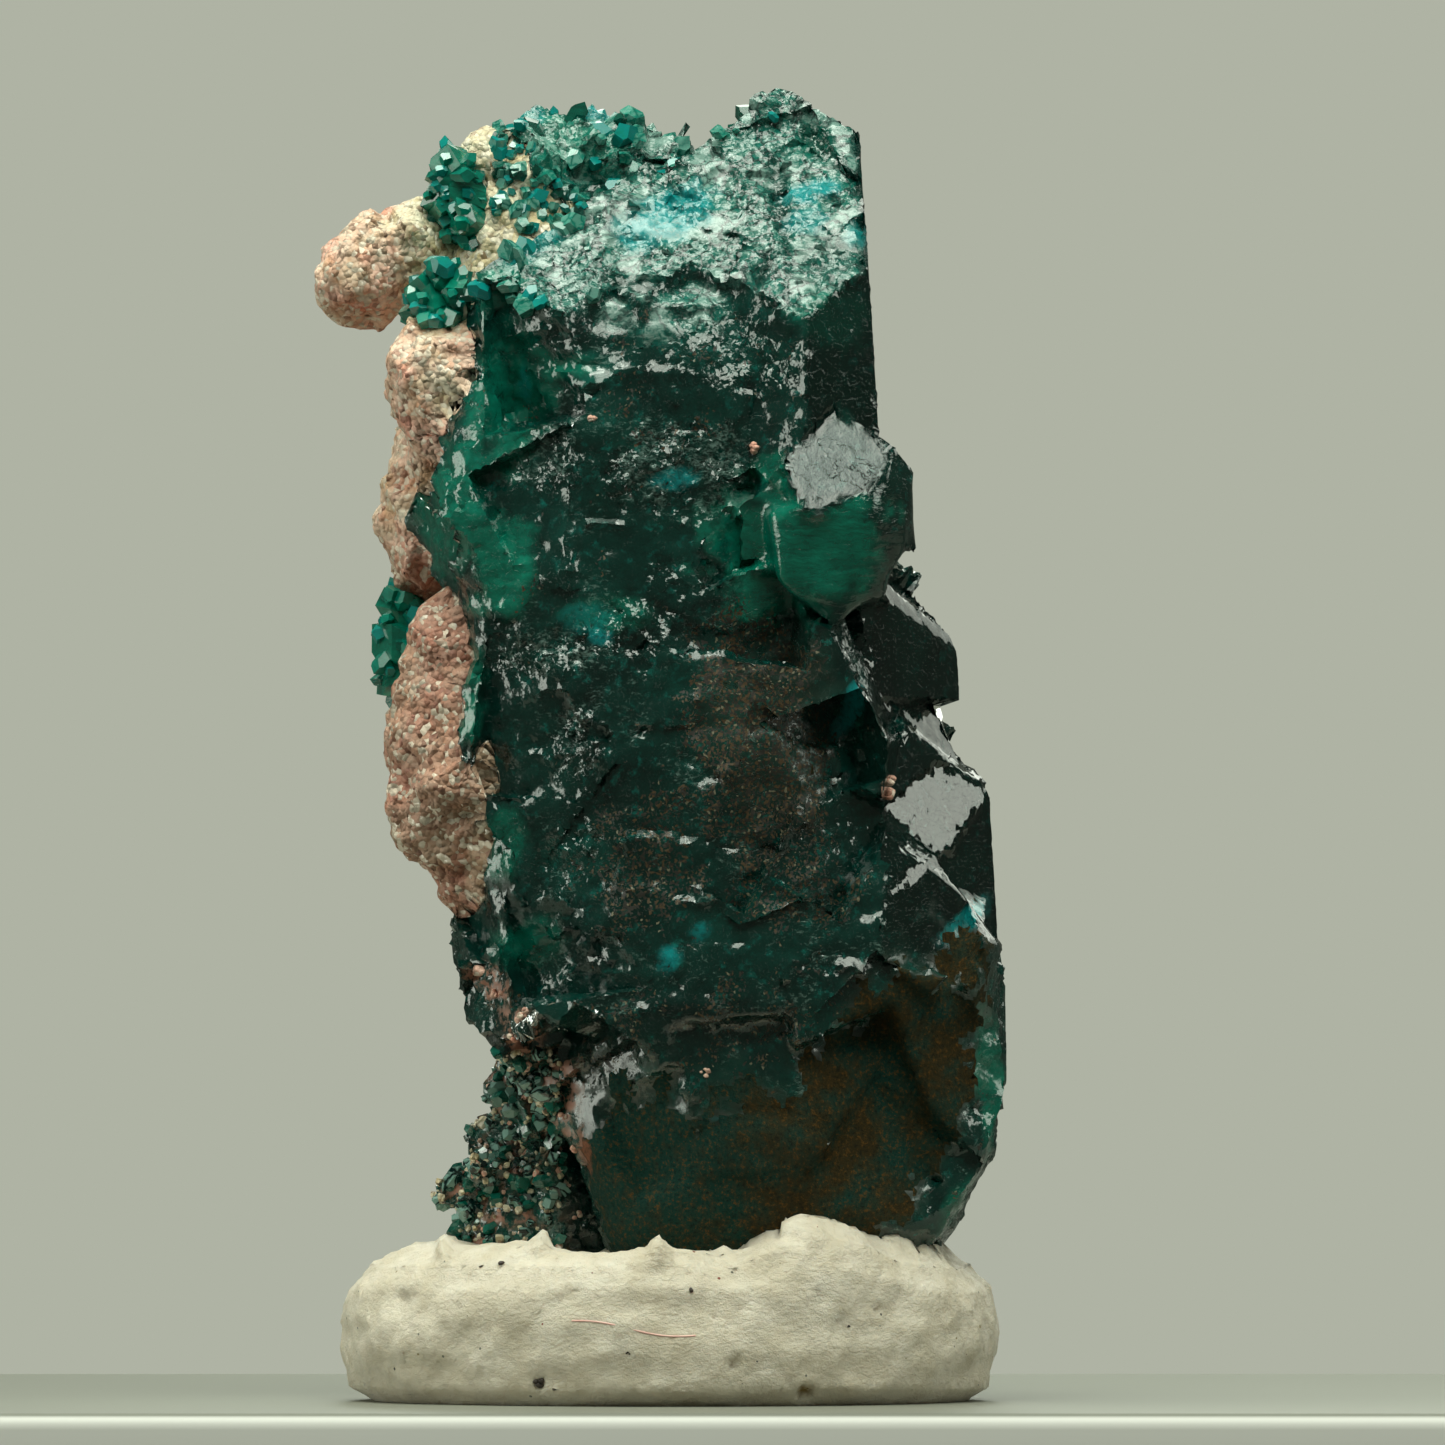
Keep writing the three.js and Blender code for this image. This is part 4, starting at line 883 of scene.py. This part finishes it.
# The druse goes on over the rock beside the rear top, thickly at first and then in tufts.
def is_neck(p, out):
    if p.z < 25.6 or p.x < -6.2 or out.y > 0.3:
        return False
    return (p.x > -4.3 and p.z > 28.4) or noise.noise(p * 0.8 + Vector((3.3, 0, 0))) > 0.45


bm = bmesh.new()
scattered(bm, small_crystal, matrix.data, 200, (0.25, 0.55), is_neck, REAR_TOP_KINDS, 33)
finished_crystals(bm, "neck_crystals")


# The small dioptase clusters that sit apart from the mass, on the matrix and at the back. They carry painted glow:
# a brighter green painted in where thin crystals let light through.
CLUSTER_CRYSTALS = 60
CLUSTER_CRYSTAL_MM = (0.25, 0.6)
CLUSTER_KINDS = [
    (4, {"glow": 1.0, "cyan": 0.15, "frost": 0.0}),
    (3, {"glow": 0.8, "cyan": 0.6, "frost": 0.0}),
    (1, {"glow": 0.3, "cyan": 0.0, "frost": 0.5}),
]
CLUSTER_NODES = ("cluster_top_left", "cluster_below_knob", "cluster_left", "cluster_back_upper", "cluster_back_lower")
for k, name in enumerate(CLUSTER_NODES):
    core = merged_copy(name, name + "_core")
    drawn_onto(core, matrix, CONTACT_REACH_MM, CONTACT_SINK_MM)
    bm = bmesh.new()
    bm.from_mesh(core.data)
    glow = bm.verts.layers.float.new("glow")
    for vertex in bm.verts:
        vertex[glow] = 0.9
    scattered(
        bm, small_crystal, core.data, CLUSTER_CRYSTALS, CLUSTER_CRYSTAL_MM, lambda p, out: True, CLUSTER_KINDS, 40 + k,
    )
    bpy.data.objects.remove(core)
    cluster = finished_crystals(bm, name + "_crystals")
    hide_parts(name)


# The putty: a ball of mineral tack pressed flat by thumb, with the foot of the specimen pushed into it.
PUTTY_CELL_MM = 0.15

# Marks on its front, as x, z and radius, and as the ends and depth of a crease.
PUTTY_PITS_MM = [(1.55, 1.05, 0.14), (1.1, 2.15, 0.1), (4.95, 2.35, 0.1), (3.25, 0.35, 0.22), (-3.1, 0.5, 0.16)]
PUTTY_PEAKS_MM = [(-3.08, 3.85, 0.3), (-0.27, 3.6, 0.3), (-5.4, 3.6, 0.25)]
PUTTY_CREASES_MM = [(1.55, 3.75, 2.5, 4.2, 0.22), (2.5, 4.2, 3.0, 4.0, 0.12), (-6.5, 2.6, -4.4, 3.1, 0.06)]


def putty_zones(p, out):
    amber = 1 - ramp(math.hypot(p.x - PUTTY_PITS_MM[3][0], p.z - PUTTY_PITS_MM[3][1]), 0.08, 0.2)
    return {"amber": amber, "upper": ramp(out.z, 0.2, 0.7)}


def putty_relief(p, zones):
    free = ramp(p.z, 0.05, 0.6)
    wrinkled = 0.14 * noise.noise(Vector((p.x * 0.45, p.y * 0.45, p.z * 1.1)))
    wrinkled += 0.05 * noise.ridged_multi_fractal(p * 0.7, 1.0, 2.1, 4, 1.0, 2.0) - 0.05
    fine = 0.05 * noise.noise(p * 2.2) + 0.03 * noise.noise(p * 5.0)
    height = free * (wrinkled + fine)
    if p.y > 0:
        return height
    for x, z, radius in PUTTY_PITS_MM:
        away = math.hypot(p.x - x, p.z - z) / radius
        height -= 0.15 * (1 - ramp(away, 0.4, 1.2))
    for x, z, radius in PUTTY_PEAKS_MM:
        height += 0.4 * zones["upper"] * (1 - ramp(math.hypot(p.x - x, p.z - z) / radius, 0.0, 1.2))
    for x, z, end_x, end_z, depth in PUTTY_CREASES_MM:
        along = Vector((end_x - x, end_z - z))
        share = min(1.0, max(0.0, Vector((p.x - x, p.z - z)).dot(along) / along.length_squared))
        away = math.hypot(p.x - x - share * along.x, p.z - z - share * along.y)
        height -= depth * (1 - ramp(away, 0.04, 0.24))
    return height


putty = merged_copy("putty_pat", "putty")
remeshed(putty, PUTTY_CELL_MM)
carve(putty, putty_zones, putty_relief, 0.3 * PUTTY_CELL_MM)
drawn_onto(putty, dioptase, CONTACT_REACH_MM, CONTACT_SINK_MM)
putty.data.shade_smooth()

# Mineral tack is an oily filled rubber. It is soft and a little see-through, and holds lint, grit and pits.
putty_material, tree, place = new_material("mineral tack")
stretched = add_node(tree, "ShaderNodeVectorMath", {0: place, 1: (1.0, 1.0, 1.4)}, operation="MULTIPLY")
tone = add_node(tree, "ShaderNodeTexNoise", {"Vector": place, "Scale": 0.8, "Detail": 6.0, "Roughness": 0.6})
tone = add_node(tree, "ShaderNodeMapRange", {0: tone, 1: 0.3, 2: 0.7})
colour = add_node(
    tree, "ShaderNodeMix", {0: tone, 6: linear("#DCCFB8"), 7: linear("#F2E8D8")}, output=2, data_type="RGBA",
)
SPECK_SPACING_MM = 0.3
specks = add_node(tree, "ShaderNodeTexVoronoi", {"Vector": place, "Scale": 1 / SPECK_SPACING_MM}, output="Distance").node
speck_kind = add_node(tree, "ShaderNodeSeparateColor", {0: specks.outputs["Color"]}).node
speck_size = add_node(tree, "ShaderNodeMapRange", {0: speck_kind.outputs["Red"], 1: 0.72, 2: 1.0, 3: 0.0, 4: 0.16})
speck = add_node(tree, "ShaderNodeMath", {0: specks.outputs["Distance"], 1: speck_size}, operation="LESS_THAN")
speck_colour = add_node(tree, "ShaderNodeValToRGB", {0: speck_kind.outputs["Green"]}, output="Color")
kinds = speck_colour.node.color_ramp
kinds.interpolation = "CONSTANT"
kinds.elements[0].color = linear("#3A3A38")
kinds.elements[1].position = 0.35
kinds.elements[1].color = linear("#7D7A6C")
for at, kind in ((0.7, "#A08A5A"), (0.88, "#2C4A6A"), (0.94, "#8A4A3A")):
    more = kinds.elements.new(at)
    more.color = linear(kind)
colour = add_node(tree, "ShaderNodeMix", {0: speck, 6: colour, 7: speck_colour}, output=2, data_type="RGBA")
amber = add_node(tree, "ShaderNodeAttribute", output="Fac", attribute_name="amber")
colour = add_node(tree, "ShaderNodeMix", {0: amber, 6: colour, 7: linear("#8A6A1E")}, output=2, data_type="RGBA")
pores = add_node(tree, "ShaderNodeTexNoise", {"Vector": stretched, "Scale": 5.0, "Detail": 6.0, "Roughness": 0.7})
creases = add_node(tree, "ShaderNodeTexNoise", {"Vector": stretched, "Scale": 1.4, "Detail": 8.0, "Roughness": 0.6})
creases = add_node(tree, "ShaderNodeMath", {0: creases, 1: 0.5}, operation="SUBTRACT")
creases = add_node(tree, "ShaderNodeMath", {0: creases}, operation="ABSOLUTE")
creases = add_node(tree, "ShaderNodeMapRange", {0: creases, 1: 0.0, 2: 0.03, 3: -0.012, 4: 0.0})
fine = add_node(tree, "ShaderNodeMath", {0: pores, 1: 0.09, 2: creases}, operation="MULTIPLY_ADD")
bump = add_node(tree, "ShaderNodeBump", {"Height": fine, "Distance": MM, "Strength": 1.0})
putty_shader = add_node(tree, "ShaderNodeBsdfPrincipled", {
    "Base Color": colour,
    "Roughness": 0.48,
    "IOR": 1.48,
    "Subsurface Weight": 0.25,
    "Subsurface Radius": (1.0, 0.8, 0.6),
    "Subsurface Scale": 0.3 * MM,
    "Normal": bump,
})
add_node(tree, "ShaderNodeOutputMaterial", {"Surface": putty_shader})
putty.data.materials.clear()
putty.data.materials.append(putty_material)
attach(putty, "root")
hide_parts("putty_pat")


# Loose grains that were caught on the specimen and in the putty: crumbs of the pink rock along the lower left of
# the break, and dark grit in the putty. Each spot is an x, a z and a size, and holds a few grains side by side.
CRUMB_SPOTS_MM = [
    (-4.6, 10.4, 0.26), (-4.2, 9.9, 0.22), (-3.5, 9.35, 0.24), (-3.85, 8.8, 0.2), (-3.4, 8.2, 0.22), (-2.85, 8.2, 0.16),
    (-2.6, 6.9, 0.15), (-2.3, 6.1, 0.17), (-2.5, 5.2, 0.16), (-2.2, 4.5, 0.16), (5.27, 14.9, 0.3), (2.02, 23.0, 0.2),
    (-1.75, 23.7, 0.16), (0.9, 8.0, 0.12),
]
GRIT_SPOTS_MM = [(-4.03, 3.4, 0.13), (-3.13, 0.55, 0.2), (0.53, 2.8, 0.1), (-1.0, 1.3, 0.06), (4.3, 1.9, 0.06)]


def grains_on(piece, name, spots_mm, material, seed):
    """Makes one piece of all the grains that lie on the front of another piece."""
    draw = random.Random(seed)
    points = [v.co / MM for v in piece.data.vertices]
    surface = BVHTree.FromPolygons(points, [f.vertices for f in piece.data.polygons])
    bm = bmesh.new()
    for x, z, size in spots_mm:
        spot = surface.ray_cast(Vector((x, -20, z)), Vector((0, 1, 0)))[0]
        for _ in range(4):
            aside = Vector((draw.gauss(0, 0.35), draw.gauss(0, 0.35), draw.gauss(0, 0.35))) * size
            hit, out, _, _ = surface.find_nearest(spot + aside)
            radius = size * draw.uniform(0.3, 0.55)
            made = bmesh.ops.create_icosphere(bm, subdivisions=2, radius=radius * MM)
            for vertex in made["verts"]:
                vertex.co *= 1 + 0.35 * noise.noise(vertex.co / MM / radius * 1.1 + hit)
            bmesh.ops.scale(bm, verts=made["verts"], vec=(1, draw.uniform(0.6, 0.9), draw.uniform(0.7, 1.0)))
            bmesh.ops.translate(bm, verts=made["verts"], vec=(hit + out * 0.3 * radius) * MM)
            for vertex in made["verts"]:
                vertex.co.y = max(vertex.co.y, cad_box[0][1])
    mesh = bpy.data.meshes.new(name)
    bm.to_mesh(mesh)
    bm.free()
    mesh.attributes.new("pink", "FLOAT", "POINT").data.foreach_set("value", [1.0] * len(mesh.vertices))
    mesh.materials.append(material)
    mesh.shade_smooth()
    grains = link_object(name, mesh)
    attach(grains, "root")


grit_material, tree, place = new_material("basalt grit")
grit_tone = add_node(tree, "ShaderNodeTexNoise", {"Vector": place, "Scale": 4.0, "Detail": 3.0})
grit_colour = add_node(
    tree, "ShaderNodeMix", {0: grit_tone, 6: linear("#14110E"), 7: linear("#4A3A30")}, output=2, data_type="RGBA",
)
grit_shader = add_node(tree, "ShaderNodeBsdfPrincipled", {"Base Color": grit_colour, "Roughness": 0.5, "IOR": 1.55})
add_node(tree, "ShaderNodeOutputMaterial", {"Surface": grit_shader})
grains_on(dioptase, "rock_crumbs", CRUMB_SPOTS_MM, matrix_material, 61)
grains_on(putty, "putty_grit", GRIT_SPOTS_MM, grit_material, 62)


# A stray pink textile fibre, stuck to the front of the putty. It is a thin tube drawn along the surface.
FIBRE_RADIUS_MM = 0.022
FIBRE_START_MM = (-2.33, 2.0)
FIBRE_END_MM = (0.63, 1.72)
FIBRE_STEPS = 40
points = [v.co / MM for v in putty.data.vertices]
surface = BVHTree.FromPolygons(points, [f.vertices for f in putty.data.polygons])
bm = bmesh.new()
upright = Matrix.Rotation(math.radians(90), 4, "Y")
ring = bmesh.ops.create_circle(bm, cap_ends=False, radius=FIBRE_RADIUS_MM * MM, segments=8, matrix=upright)["verts"]
edges = bm.edges[:]
before = Vector((0, 0, 0))
for step in range(FIBRE_STEPS + 1):
    share = step / FIBRE_STEPS
    x = FIBRE_START_MM[0] + share * (FIBRE_END_MM[0] - FIBRE_START_MM[0])
    z = FIBRE_START_MM[1] + share * (FIBRE_END_MM[1] - FIBRE_START_MM[1]) + 0.09 * math.sin(5.5 * share + 0.6)
    at = surface.ray_cast(Vector((x, -20, z)), Vector((0, 1, 0)))[0]
    at.y = max(at.y, cad_box[0][1] / MM + 1.2 * FIBRE_RADIUS_MM)
    if step > 0:
        made = bmesh.ops.extrude_edge_only(bm, edges=edges)["geom"]
        ring = [v for v in made if isinstance(v, bmesh.types.BMVert)]
        edges = [e for e in made if isinstance(e, bmesh.types.BMEdge) and e.is_boundary]
    bmesh.ops.translate(bm, verts=ring, vec=(at - before) * MM)
    before = at
bmesh.ops.holes_fill(bm, edges=bm.edges[:], sides=0)
bmesh.ops.recalc_face_normals(bm, faces=bm.faces[:])
fibre_mesh = bpy.data.meshes.new("fibre")
bm.to_mesh(fibre_mesh)
bm.free()
fibre_mesh.shade_smooth()
fibre = link_object("fibre", fibre_mesh)

# Dyed polyester: pink, faded along its length, with a soft shine.
fibre_material, tree, place = new_material("pink polyester")
fade = add_node(tree, "ShaderNodeTexNoise", {"Vector": place, "Scale": 2.0, "Detail": 2.0})
fibre_colour = add_node(
    tree, "ShaderNodeMix", {0: fade, 6: linear("#E8A8A0"), 7: linear("#F4D2C6")}, output=2, data_type="RGBA",
)
fibre_shader = add_node(tree, "ShaderNodeBsdfPrincipled", {"Base Color": fibre_colour, "Roughness": 0.45, "IOR": 1.55})
add_node(tree, "ShaderNodeOutputMaterial", {"Surface": fibre_shader})
fibre_mesh.materials.append(fibre_material)
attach(fibre, "root")
